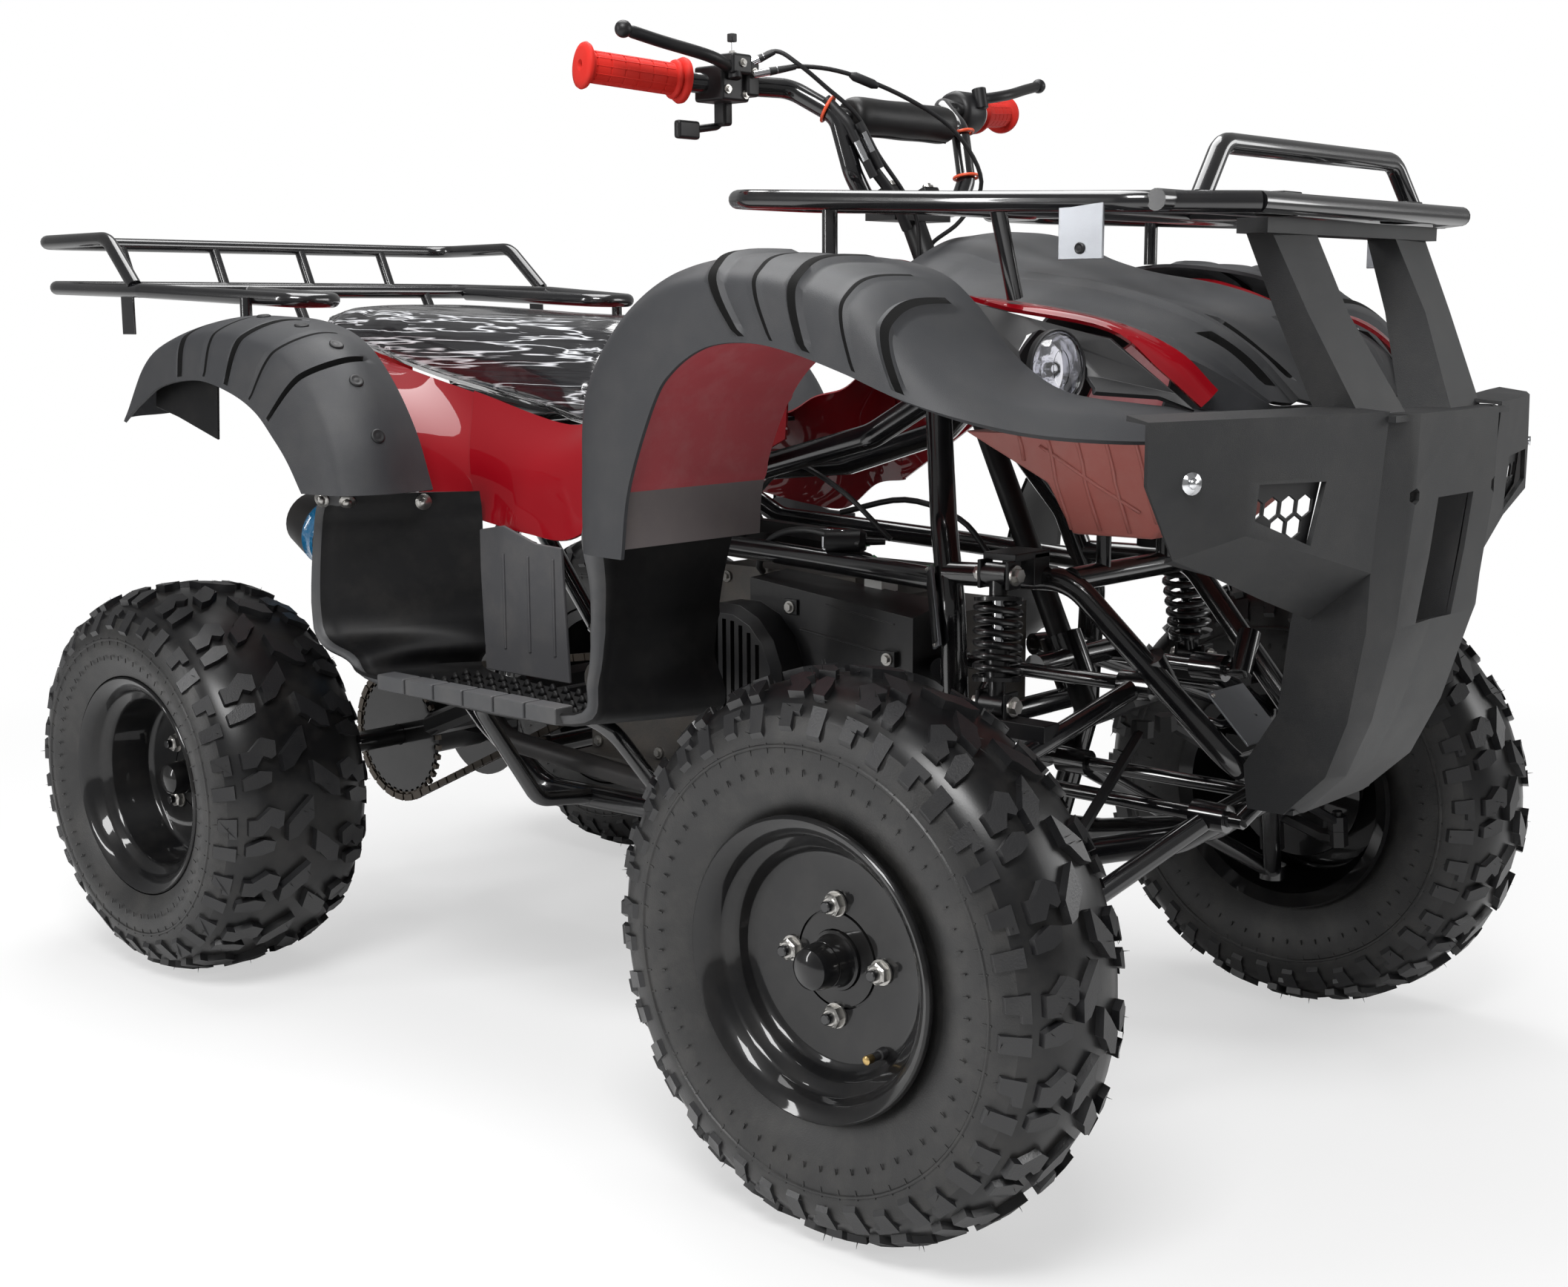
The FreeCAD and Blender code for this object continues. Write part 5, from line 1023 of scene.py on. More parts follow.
def arch_section(outline, lip, out, inside, inner=None):
    (y, z), (lip_y, lip_z) = outline, lip
    return [at(inside, *(inner or outline))] + [at(x, y + (lip_y - y) * s, z + (lip_z - z) * s) for x, s in
                                                ((-out + 72, 0), (-out + 24, 0.18), (-out + 7, 0.42), (-out, 1))]


def near(value, places, half):
    return any(abs(value - place) < half for place in places)


def grooved(places):
    """Tint and sink functions for grooves across a band, with thin seams halfway between; the tint paints shade into
    the sunk grooves and seams.
    """
    seams = [(a + b) / 2 for a, b in zip(places, places[1:])]

    def tint(u, v):
        return int((near(u, places, GROOVE_HALF) or near(u, seams, 0.0022)) and 0.12 < v < 0.96)

    def sink(u, v):
        if not 0.12 < v < 0.96:
            return 0.0
        return GROOVE_DEPTH * near(u, places, GROOVE_HALF) + 0.0012 * near(u, seams, 0.0045)
    return {"tint": tint, "sink": sink}


def in_hood_slot(u, v):
    return any(a < u < b and (c < v < d or c < 1 - v < d) for a, b, c, d in HOOD_SLOTS)


def hood_fall(u, v):
    """Slots, the lower flanks beside the raised middle, and the fold along the strip."""
    edge = min(v, 1 - v)
    flank = 0.0
    if edge < 0.252 and u > 0.12:
        flank = (0.006 + 0.006 * math.sin(math.pi * edge / 0.252)) * min(1.0, (u - 0.12) / 0.1)
    fold = 0.003 if edge < 0.066 and u > 0.2 else 0.0
    return flank + fold + (0.009 if in_hood_slot(u, v) else 0.0)


def make_panels():
    # The hood's sunk slots take the near black of painted shade
    shell_of("hood", smooth_grid(full_width(HOOD), 10, 12), [HOOD_GREY, RECESS_SHADE], ["nose_cowl"], "textured_plastic",
             mirror=False, tint=lambda u, v: int(in_hood_slot(u, v)), sink=hood_fall)
    lip = points([[(x, y, z), (x, y + 4, z - 22), (x, y + 12, z - 46)] for x, y, z in LIP])
    shell_of("nose_lip", smooth_grid(lip, 6, 4), [HOOD_GREY], [], "textured_plastic", 0.003)
    shell_of("red_strip", smooth_grid(points(STRIP), 6, 8), [CANDY_RED], ["front_shell"], "red_gloss")
    front = smooth_grid([arch_section(*row) for row in FRONT_ARCH], 14, 8)
    # The arches' sunk grooves and seams take the near black of painted shade
    shell_of("arch_front", front, [ARCH_GREY, RECESS_SHADE], ["front_arches"], "textured_plastic",
             **grooved((70 / 168, 89 / 168, 112 / 168)))
    rear = smooth_grid([arch_section(*row) for row in REAR_ARCH], 16, 8)
    shell_of("arch_rear", rear, [ARCH_GREY, RECESS_SHADE], ["rear_arches"], "textured_plastic",
             **grooved((40 / 128, 67 / 128, 88 / 128)))
    places = [on_grid(front, u, v) for u, v in ((0.47, 0.27), (0.555, 0.27), (0.62, 0.27), (0.70, 0.27), (0.79, 0.35))]
    places += [on_grid(rear, u, v) for u, v in ((0.58, 0.28), (0.47, 0.28), (0.36, 0.28), (0.26, 0.3), (0.13, 0.3))]
    placed("arch_plugs", plugs(mirrored(places)), CHASSIS, slot="black_plastic")

    liner = smooth_grid(points([[(x, y, z) for x in (-498, -394, -290)] for y, z in LINER]), 8, 6)
    shell_of("arch_liner", liner, [LINER_RED, LINER_GREY], ["front_liners"], "liner_plastic", -0.003,
             tint=lambda u, v: int(u < 0.26),
             sink=lambda u, v: 0.0015 * (near(u, [0.28], 0.02) or near(u, [0.6], 0.012)))
    screws = mirrored([on_grid(liner, 0.13, v, 0.0005) for v in (0.25, 0.72)])
    placed("liner_screws", bolts(screws, SPRING_BLACK, 0.0058, 1.9, 1.0), CHASSIS, slot="textured_plastic")

    pod = smooth_grid(full_width(POD), 12, 12)
    side = [[Vector((-p.x, p.y, p.z)) for p in row] for row in smooth_grid(points(SIDE_PANEL), 8, 10)]
    shell_of("tank_pod", pod, [CANDY_RED], ["tank_cover"], "red_gloss", mirror=False)
    shell_of("side_panels", side, [CANDY_RED], [], "red_gloss", 0.004)
    shell_of("rear_shell_panels", smooth_grid(points(REAR_SHELL), 10, 10), [CANDY_RED], ["rear_shell"], "red_gloss",
             0.004)
    softened("headlight_bezels", "lamp_recess", CHASSIS, 0.002, GROOVE_BLACK)
    softened("mud_flaps", "mud_flap", CHASSIS, 0.0015, STEP_BLACK)


def make_nose_box():
    """The tub under the hood, with raised ribs and a diagonal that are drawn on its walls."""
    work = bmesh.new()
    for side in SIDES:
        for k in range(9):
            starts = [at(side * 400, -500 - k * 34, z) for z in range(620, 780, 6)]
            line = drawn_on("nose_box", starts, (-side, 0, 0), 0.6)
            if len(line) > 5:
                pipe(work, line[1:-1:3] + line[-1:], 0.0022, 0, 6)
    starts = [at(-400, -590 - 9 * k, 745 - 6 * k) for k in range(12)]
    pipe(work, drawn_on("nose_box", starts, (1, 0, 0), 0.6), 0.0022, 0, 6)
    tub = dressed(bevelled(whole_faces("nose_box"), 0.004, 3), NOSE_PINK)
    placed("nose_tub", [tub, form(work, NOSE_PINK)], CHASSIS, ["nose_box"], "liner_plastic")


def make_footwells():
    """Tray with its grey sill segments, pegs, screws and the grey inner panel."""
    grid = smooth_grid(points([[(x, y, z) for y, z in line] for x, line in FOOT]), 8, 7)

    def tint(u, v):
        return int(u < 0.3 or (u < 0.42 and (v < 0.09 or v > 0.93)))

    def sink(u, v):
        bands = 0.0022 * (near(v, (0.27, 0.80), 0.008) or near(v, [0.90], 0.006))
        return bands + (0.002 if 0.30 < u < 0.35 else 0.0)
    shell_of("foot_tray", grid, [STEP_BLACK, EDGE_GREY], ["footwells"], "black_plastic", tint=tint, sink=sink)
    blocks, pegs, inner = bmesh.new(), bmesh.new(), bmesh.new()
    for side in SIDES:
        for start in range(-160, 164, 54):
            plate(blocks, side, (414, 441), (start + 1.5, start + 52.5), (437, 456))
        for row, x in enumerate((398, 372, 346, 320)):
            for k in range(13):
                y = -150 + k * 23 + (row % 2) * 11
                prism(pegs, *([at(side * x + wide, y + a, z) for a, z in ((0, 440), (13, 440), (6.5, 449))]
                              for wide in (-2.5, 2.5)))
        xs = sorted((side * 275, side * 270))
        prism(inner, *([at(x, y, z) for y, z in INNER_PANEL] for x in xs))
        for k in range(3):
            box(inner, at(xs[0] - 2, 26 + k * 46, 470), at(xs[1] + 2, 30 + k * 46, 590))
    placed("sill_and_pegs", [form(blocks, EDGE_GREY, 0.002), form(pegs, STEP_BLACK), form(inner, INNER_GREY, 0.0015)],
           CHASSIS, slot="black_plastic")
    places = ((0.10, 0.05), (0.16, 0.97), (0.45, 0.97), (0.75, 0.96), (0.5, 0.03))
    screws = mirrored([on_grid(grid, u, v, 0.001) for u, v in places])
    placed("foot_screws", bolts(screws, ZINC, 0.006, 1.7), CHASSIS, slot="black_plastic")


def puffed(mesh, voxel, cap, frames=14):
    """A pad blown up by cloth pressure, with each point's travel capped."""
    piece = held("pad", mesh)
    remesh = piece.modifiers.new("even", "REMESH")
    remesh.mode = "VOXEL"
    remesh.voxel_size = voxel
    baked(piece)
    start = [v.co.copy() for v in piece.data.vertices]
    cloth = piece.modifiers.new("pad", "CLOTH")
    cloth.settings.use_pressure = True
    cloth.settings.uniform_pressure_force = 4
    cloth.settings.effector_weights.gravity = 0
    for k in range(1, frames + 1):
        bpy.context.scene.frame_set(k)
    baked(piece)
    for v, first in zip(piece.data.vertices, start):
        away = v.co - first
        if away.length > cap:
            v.co = first + away * (cap / away.length)
    bpy.context.scene.frame_set(1)
    piece.modifiers.new("soft", "SMOOTH").iterations = 4
    return released(baked(piece))


def make_seat():
    """The seat pad, tight in clear film."""
    rows = []
    for y, half, low, high in SEAT:
        mid = (low + high) / 2
        ring = [(-half, low), (-half - 4, mid), (-half + 14, high - 6), (-half * 0.5, high - 1), (0, high),
                (half * 0.5, high - 1), (half - 14, high - 6), (half + 4, mid), (half, low), (0, low + 4)]
        rows.append([at(x, y, z) for x, z in ring])
    work = bmesh.new()
    rings = []
    for line in zip(*[smooth_line(column, 6) for column in zip(*rows)]):
        closed = list(line[-1:] + line + line[:2])
        rings.append([work.verts.new(curve_value(closed, 1 + k / 5)) for k in range(50)])
    banded(work, zip(rings, rings[1:]))
    work.faces.new(rings[0])
    work.faces.new(rings[-1][::-1])
    seat = placed("seat_pad", puffed(mesh_of(work), 0.006, 0.005), CHASSIS, ["seat"], "seat_vinyl", None, FILM_SEAT)


# Tubes, racks, suspension and drive

# Tubes of one side: route, radius and bend
FRAME_SIDE = [([(26, -800, 392), (34, -700, 322), (92, -520, 275), (112, -420, 262), (125, 225, 250), (165, 300, 340),
                (150, 420, 420)], 15, 60),
              ([(40, -372, 790), (118, -442, 650), (138, -470, 560), (128, -470, 400), (112, -440, 265)], 15, 60),
              ([(132, -458, 600), (118, -610, 604), (84, -790, 424), (28, -806, 398)], 13, 60),
              ([(40, -372, 790), (70, -300, 740), (100, -120, 690), (120, 100, 668), (120, 300, 720), (120, 700, 760)],
               15, 60),
              ([(150, 420, 420), (135, 520, 560), (120, 640, 752)], 13, 60),
              ([(130, -462, 590), (128, -250, 600), (126, 20, 610), (122, 160, 678)], 13, 60),
              ([(62, -790, 362), (62, -450, 362)], 8, 0), ([(26, -800, 390), (62, -786, 362)], 9, 0),
              ([(58, -460, 362), (122, -450, 362)], 13, 0), ([(74, -712, 492), (74, -430, 492)], 8, 0),
              ([(70, -432, 492), (134, -452, 492)], 13, 0), ([(72, -706, 488), (101, -700, 530)], 13, 0),
              ([(60, -612, 604), (60, -612, 650)], 8, 0),
              ([(112, -150, 256), (220, -150, 266), (340, -130, 423.2), (340, 110, 423.2), (220, 130, 266),
                (118, 130, 252)], 10, 40)]
# Cross tubes: the far end and the radius
CROSS = [(112, -420, 262, 13), (145, 262, 296, 13), (120, 698, 760, 13), (112, 110, 670, 13), (118, -610, 604, 13),
         (128, -470, 430, 13), (84, -792, 424, 13), (118, 390, 729, 13), (24, 390, 700, 6), (44, -376, 788, 13),
         (74, -535, 497, 13)]
# Brackets of one side: x, y and z from and to
EARS = [((118, 180), (-583, -541), (626, 634)), ((118, 146), (-583, -541), (598, 632)),
        ((112, 188.4), (50, 70), (735, 741)), ((112, 124), (50, 70), (664, 741)),
        ((112, 202), (560, 578), (742, 752)), ((190, 202), (560, 578), (742, 835.4))]
SHOCK_TOP, SHOCK_FOOT = (180, -562, 612), (198, -574, 478)
COLUMN_TOP, COLUMN_FOOT = at(0, -300, 990), at(0, -560, 430)
PIPE = [(-40, -395, 384), (-40, -395, 336), (-140, -290, 304), (-150, 0, 296), (-200, 220, 330), (-205, 330, 470)]
MUFFLER = 0.28
RACK_END = 1041.5
FRONT_RACK = [(across([(-215, -868, 978), (-300, -790, 978), (-310, -600, 985), (-310, -330, 998), (-285, -285, 1000),
                       (-160, -285, 1000), (-120, -400, 996)]), 10, 40),
              (across([(-222, -812, 984), (-178, -807, 1035)]), 10, 30), (across([(-298, -812, 979)]), 10, 0),
              (across([(-308, -600, 985)]), 10, 0), (across([(-216, -867, 978)]), 10, 0),
              ([(-105, -866, 978), (-105, -404, 996)], 8, 0), ([(105, -866, 978), (105, -404, 996)], 8, 0)]
REAR_RACK = [(across([(-373, 778, 922), (-368, 852, 988), (-375, RACK_END, 987)]), 10, 40),
             (across([(-200, 760, 912), (-236, 491, 900), (-308, 491, 900), (-373, 760, 915), (-378, 1010, 922)]),
              10, 34),
             (across([(-373, 768, 915)]), 10, 0)]
REAR_RACK += [(line, 8, 0) for x in (-240, -80, 80, 240) for line in ([(x, 768, 915), (x, 1010, 922)],
                                                                     [(x, 1010, 922), (x, RACK_END, 987)])]
FRONT_POSTS = [[(303, -436, 937.4), (303, -436, 993)], [(268, -640, 894.5), (300, -640, 984)]]
REAR_POSTS = [[(338, 560, 866.8), (338, 560, 904)], [(120, 698, 776), (120, 730, 850), (120, 768, 915)]]
# Ball joint, the two pivots, and whether a brace joins the legs
ARMS = [((368, -597.5, 181), ((62, -752, 362), (62, -500, 362)), False),
        ((352, -591.5, 386), ((74, -668, 492), (74, -490, 492)), True)]


def fork(work, side, x, y, z):
    """The two cheeks that hold a front shock's eye."""
    for way in SIDES:
        plate(work, side, (x - 11, x + 11), (y + way * 17.8 - 2.5, y + way * 17.8 + 2.5), (z - 15, z + 15))


def fork_bolts(x, y, z):
    return [(at(side * x, y + w * 21.5, z), (0, w, 0)) for side in SIDES for w in SIDES]


def make_frame():
    work, ears = bmesh.new(), bmesh.new()
    for side in SIDES:
        for line, radius, bend in FRAME_SIDE:
            tube(work, line, radius, bend, side)
    for x, y, z, radius in CROSS:
        tube(work, across([(-x, y, z)]), radius)
    reach = (COLUMN_FOOT - COLUMN_TOP).length
    for first, last in ((0.175, 0.235), (reach - 0.1, reach - 0.04)):
        collar(work, COLUMN_TOP, COLUMN_FOOT - COLUMN_TOP, first, last, 0.0155, 0.024)
    for side in SIDES:
        box(ears, at(side * 22.3 - 4, 376, 684), at(side * 22.3 + 4, 404, 730))
        fork(ears, side, *SHOCK_TOP)
        for x, y, z in EARS:
            plate(ears, side, x, y, z)
    tubes = form(work, BLACK_GLOSS)
    tubes.set_sharp_from_angle(angle=math.radians(40))
    places = fork_bolts(*SHOCK_TOP) + [(at(side * 156, y, 432), (side, 0, 0.2)) for side in SIDES for y in (405, 428)]
    placed("frame_tubes", [tubes, form(ears, BLACK_SATIN, 0.0012), bolts(places, ZINC, 0.0075)], CHASSIS, ["frame"],
           "frame_paint", 40)


def make_rack(name, node, tubes, posts, tab, tab_finish, more):
    work, tabs = bmesh.new(), bmesh.new()
    for line, radius, bend in tubes:
        tube(work, line, radius, bend)
    for side in SIDES:
        for line in posts:
            tube(work, line, 8, 0, side)
        plate(tabs, side, *tab)
    placed(name, [form(work, BLACK_GLOSS), form(tabs, tab_finish, 0.0008), *more], CHASSIS, [node], "frame_paint", 40)


def make_racks():
    holes = plugs([(at(side * 311.8, -742, 938), (side, 0, 0)) for side in SIDES], 0.0052)
    make_rack("rack_front", "front_rack", FRONT_RACK, FRONT_POSTS, ((308.5, 311.5), (-766, -718), (928, 978)),
              TAB_STEEL, [holes])
    make_rack("rack_rear", "rear_rack", REAR_RACK, REAR_POSTS, ((373.5, 376.5), (779, 811), (855, 917)),
              BLACK_GLOSS, [])


def shock_meshes(top, foot, pin, radius, wire, first, turns):
    """Spring unit: chrome rod, damper body, cups, rubber eyes, and a coil laid along its line."""
    way = (top - foot).normalized()
    length = (top - foot).length
    cup = radius + wire * 0.8
    dark, shiny = bmesh.new(), bmesh.new()
    spun(dark, [(0, 0.009), (first, 0.009), (first, cup), (first + 0.004, cup), (first + 0.005, 0.013),
                (length * 0.42, 0.013), (length * 0.43, 0.009)], foot, way, 24)
    spun(dark, [(length - first - 0.004, 0.008), (length - first - 0.004, cup), (length - first, cup),
                (length - first + 0.002, 0.010), (length, 0.010)], foot, way, 24)
    spun(shiny, [(length * 0.40, 0.0065), (length - first, 0.0065)], foot, way, 20)
    for eye in (top, foot):
        collar(dark, eye, (0, 1, 0) if pin < 0.034 else (1, 0, 0), -0.5 * pin, 0.5 * pin, 0.0065, 0.0125)
    coil = grown("coil", bpy.data.meshes.new("seed"), SPRING_BLACK, Turns=turns, Radius=radius,
                 Height=length - 2 * first - 2 * wire, Wire_Radius=wire)
    turn = way.to_track_quat("Z", "Y").to_matrix().to_4x4()
    coil.transform(Matrix.Translation(foot + way * (first + wire)) @ turn)
    return [form(dark, SPRING_BLACK), form(shiny, CHROME), coil]


def make_suspension():
    ends = [[at(side * x, y, z) for x, y, z in (SHOCK_TOP, SHOCK_FOOT)] for side in SIDES]
    front = [mesh for top, foot in ends for mesh in shock_meshes(top, foot, 0.030, 0.0225, 0.0040, 0.024, 6.5)]
    placed("shocks_front", front, CHASSIS, ["front_shocks"], "spring_steel", 50)
    rear = shock_meshes(at(0, 390, 700), at(0, 470, 336), 0.036, 0.0275, 0.0050, 0.042, 8)
    placed("shock_rear", rear, CHASSIS, ["rear_shock"], "spring_steel", 50)

    arms, pads = bmesh.new(), bmesh.new()
    for side in SIDES:
        for (x, y, z), pivots, braced in ARMS:
            tip = at(side * x, y, z)
            roots = [at(side * x, y, z) for x, y, z in pivots]
            collar(arms, tip, (0, 0, 1), -0.009, 0.009, 0.0068, 0.017)
            for root in roots:
                pipe(arms, [root + (tip - root) * 0.035, tip - (tip - root) * 0.03], 0.011)
                collar(arms, root, (0, 1, 0), -0.02, 0.02, 0.0085, 0.015)
            if braced:
                pipe(arms, [root.lerp(tip, 0.42) for root in roots], 0.008, 0, 12)
        x, y, z = SHOCK_FOOT
        plate(pads, side, (x - 14, x + 14), (y - 70, y + 62), (z - 30, z - 12))
        fork(pads, side, x, y, z)
    heads = bolts(fork_bolts(*SHOCK_FOOT), ZINC, 0.0075)
    placed("wishbones", [form(arms, BLACK_GLOSS), form(pads, BLACK_SATIN, 0.0015), heads], CHASSIS, ["a_arms"],
           "frame_paint", 40)
    for name in ("right", "left"):
        softened("knuckle_" + name, "upright_" + name, "knuckle_" + name, 0.003, BLACK_SATIN, 3)
        softened("tie_rod_" + name, "track_rod_" + name, "tie_rod_" + name, 0.0015, BLACK_SATIN)
    softened("swingarm", "swing_arm", CHASSIS, 0.003, BLACK_SATIN)


def make_drive():
    """Chain of links round both sprockets, and the exhaust with its clamps and blue film."""
    front, rear = at(-84, 160, 400), Vector((-0.084, REAR_AXLE, REAR_RADIUS))
    tilt = math.atan2(rear.z - front.z, rear.y - front.y)
    path = []
    for centre, radius, first in ((front, 0.0315, 90), (rear, 0.0955, -90)):
        for k in range(25):
            a = tilt + math.radians(first + 180 * k / 24)
            path.append(centre + Vector((0, math.cos(a), math.sin(a))) * radius)
    mesh = bpy.data.meshes.new("chain_path")
    mesh.from_pydata(path, [(k, (k + 1) % len(path)) for k in range(len(path))], [])
    links = grown("links", mesh, CHAIN_STEEL, Count=116, Width=0.0085)
    placed("drive_chain", links, CHASSIS, ["chain"], "chain_steel", 40)

    work, film = bmesh.new(), bmesh.new()
    tube(work, PIPE, 14, 60)
    axis = [at(-205, 300, 500), at(-202, 330, 508), at(-198, 600, 582), at(-196, 640, 592)]
    pipe(work, axis, 0.0475, 0, 32, ends=(0.034, 0.040))
    for share in (0.12, 0.5, 0.86):
        spun(work, [(-0.004, 0.0475), (-0.003, 0.0485), (0.003, 0.0485), (0.004, 0.0475)], axis[1].lerp(axis[2], share),
             axis[2] - axis[1], 32)
    pipe(work, [at(-196, 636, 591), at(-194, 668, 599)], 0.0155, 0, 20)
    for first, last in ((0.0, 0.09), (0.74, 0.97)):
        line = [(first * MUFFLER + (last - first) * MUFFLER * k / 10,
                 0.0482 + 0.0016 * math.sin(2.3 * k) + 0.0007 * dice.random()) for k in range(11)]
        spun(film, [(line[0][0], 0.0470)] + line + [(line[-1][0], 0.0470)], axis[1], axis[2] - axis[1], 48, closed=True)
    placed("exhaust_pipes", [form(work, PIPE_BLACK), form(film, BLUE_FILM)], CHASSIS, ["exhaust"], "exhaust_steel", 35)


def make_bumper():
    """Bumper moulding with rounded edges, its bolts, and honeycomb plates cut to the wings' windows."""
    softened("front_bumper", "bumper", CHASSIS, 0.005, BUMPER_GREY, 3)
    places = [(at(side * x, y, z), (0, -1, way)) for x, y, z, way in ((47, -851.5, 406, -0.1), (62, -905, 452, -0.2))
              for side in SIDES]
    wing = landed("front_bumper", at(-1271, -1803, 736), (1, 1, 0))
    clamps = bmesh.new()
    for side in SIDES:
        for z in (969, 985):
            plate(clamps, side, (112, 148), (-856, -826), (z, z + 6))
    placed("bumper_fixings", [bolts(places, ZINC, 0.0065, 1.6), bolts(mirrored([wing]), CHROME, 0.005, 2.0),
                              form(clamps, BLACK_SATIN, 0.0015)], CHASSIS, slot="bumper_plastic")
    softened("bumper_grilles", "honeycomb_plates", CHASSIS, 0.0007, GROOVE_BLACK)


# Handlebar, controls, lamps and engine

BAR = [(18, -303, 1001), (84, -303, 1003), (106, -300, 1036), (113, -284, 1098), (138, -236, 1129), (250, -196, 1130),
       (374, -155, 1140.7)]
BRACE_Y, BRACE_Z = -281, 1100
BRAKE = [(-197, -232, 1153), (-178, -250, 1165), (-160, -268, 1151), (-132, -283, 1128), (-102, -303, 1098),
         (-76, -312, 1057), (-50, -328, 1016), (-32, -334, 984), (-17.5, -327, 934)]
THROTTLE = [(-197, -240, 1140), (-160, -266, 1149), (-112, -297, 1143), (-50, -335, 1117), (4, -362, 1081),
            (32, -377, 1028), (28, -350, 985), (17.5, -316, 958), (17.5, -327, 934)]
BUNDLE = [(-124, -276, 1116), (-112, -298, 1090), (-98, -311, 1052), (-66, -326, 1012), (-40, -326, 975)]
TIES = [((-118, -274, 1106), (-1, 1.6, 1)), ((113, -286, 1092), (0, 0.3, 1)), ((106, -300, 1040), (0.1, 0.2, 1))]
GRIP_TIP = [(4.5, 0.0), (4.5, 4.5), (0.0, 6.0), (-0.1, 18), (1.8, 23.8), (4.5, 24.9), (7.2, 23.6), (8.6, 18.0),
            (9.2, 16.8)]
GRIP_RIB = [(0, 16.9), (0.4, 16.1), (1.6, 16.1), (2.0, 16.9)]
GRIP_ROOT = [(108, 16.9), (109.5, 20.5), (111.5, 21.2), (113.5, 20.5), (115, 18.0), (116.8, 23.2), (120, 24.9),
             (123.5, 24.0), (125, 20.0), (125, 12.0)]
HOUSING = [((-20, -24, -18), (24, 20, 20)), ((-14, -34, 10), (18, -4, 32)), ((14, -30, -12), (34, -8, 26)),
           ((6, -2, -42), (20, 16, -12)), ((-50, 13, -58), (-16, 23, -38))]
CONTROL_SCREWS = [((2, -34, 22), (0, -1, 0.2)), ((24, -31, 14), (0, -1, 0)), ((-12, -24.5, -6), (0, -1, 0)),
                  ((16, -24.5, -10), (0, -1, 0)), ((-4, -24, 31), (0, 0.2, 1))]
LEVER = [(-4, -22, 16), (-48, -34, 24), (-108, -18, 36), (-148, -10, 44)]
LAMP_PLACE, LAMP_WAY = (-300, -712, 829), (-0.52, -0.85, 0.06)
LAMP_WIDE, LAMP_TALL, LAMP_STEPS = 28, 37, 40
# Finish, and steps of (distance forward, growth of the oval), and whether it closes on itself
LAMP_RINGS = [(REFLECTOR, [(-32, -16), (-24, -8), (-12, -3), (-2, -1.5), (-2, -3.5), (-12, -5.5), (-24, -11),
                           (-29, -22)], False),
              (LENS, [(0, -2.2), (4, -4), (8, -10), (10, -20), (8, -20), (5, -10), (1, -4.2), (-1, -3)], False),
              (GROOVE_BLACK, [(-8, 0), (2, 0), (3.5, -1.2), (2.5, -2.4), (-8, -1.4)], True)]
BULB = [(-0.028, 0.006), (-0.020, 0.006), (-0.019, 0.0085), (-0.010, 0.0085), (-0.004, 0.005), (-0.002, 0.0)]
HOSES = [([(-118, -322, 620), (-128, -250, 632), (-122, -190, 618), (-112, -160, 585), (-96, -150, 572)], 4.2),
         ([(-60, -330, 560), (-74, -300, 600), (-96, -250, 604), (-104, -170, 600), (-92, -120, 590)], 3.4),
         ([(-18, -60, 648), (-30, -120, 690), (-60, -180, 700), (-70, -260, 670), (-60, -320, 620)], 3.2),
         ([(-8, -200, 640), (4, -290, 660), (20, -360, 640), (26, -400, 600)], 3.6)]
GREEN_WIRE = [(-104, -330, 606), (-96, -352, 592), (-100, -382, 590), (-108, -410, 600), (-120, -440, 606)]
WHITE_WIRE = [(-112, -302, 606), (-104, -318, 594), (-90, -330, 580)]
CASE_BOLTS = [(-90, -278, 345), (-90, -180, 340), (-90, -84, 345), (-90, -278, 470), (-90, -84, 560), (-72, -60, 312),
              (-72, 60, 312), (-72, 176, 312), (-72, 176, 455), (-72, -60, 455)]
COVER_BOLTS = [(-180, 430, 62, (0.4, 1.5, 2.6, 3.7, 4.8, 5.9)), (150, 400, 56, (0.2, 1.4, 2.6, 3.9, 5.1))]


def beside(origin, x, y, z):
    """A point some millimetres from another."""
    return origin + Vector((x, y, z)) / 1000


def block(work, origin, low, high, turn=None):
    box(work, beside(origin, *low), beside(origin, *high), turn, origin)


def ball(work, centre, radius, axis=(1, 0, 0)):
    line = [(-radius * math.cos(math.pi * k / 10), radius * math.sin(math.pi * k / 10)) for k in range(10)]
    spun(work, line + [(radius, 0.0)], centre, axis, 20)


def grip_mesh():
    """Ribbed sleeve with a rounded flange at each end and the hole at its tip."""
    work = bmesh.new()
    end = at(-380, -153, 1141.4)
    along = (at(-250, -196, 1130) - end).normalized()
    ribs = [(12.5 + k * 16.5 + x, r) for k in range(6) for x, r in GRIP_RIB]
    spun(work, [(x / 1000, r / 1000) for x, r in GRIP_TIP + ribs + GRIP_ROOT], end, along, 40)
    side = along.cross(Vector((0, 0, 1))).normalized()
    up = side.cross(along)
    for k in range(12):
        out = side * math.cos(2 * math.pi * k / 12) + up * math.sin(2 * math.pi * k / 12)
        pipe(work, [end + along * 0.012 + out * 0.0166, end + along * 0.106 + out * 0.0166], 0.0008, 0, 6)
    right = form(work, GRIP_RED)
    left = right.copy()
    left.transform(Matrix.Scale(-1, 4, (1, 0, 0)))
    left.flip_normals()
    return [right, left]


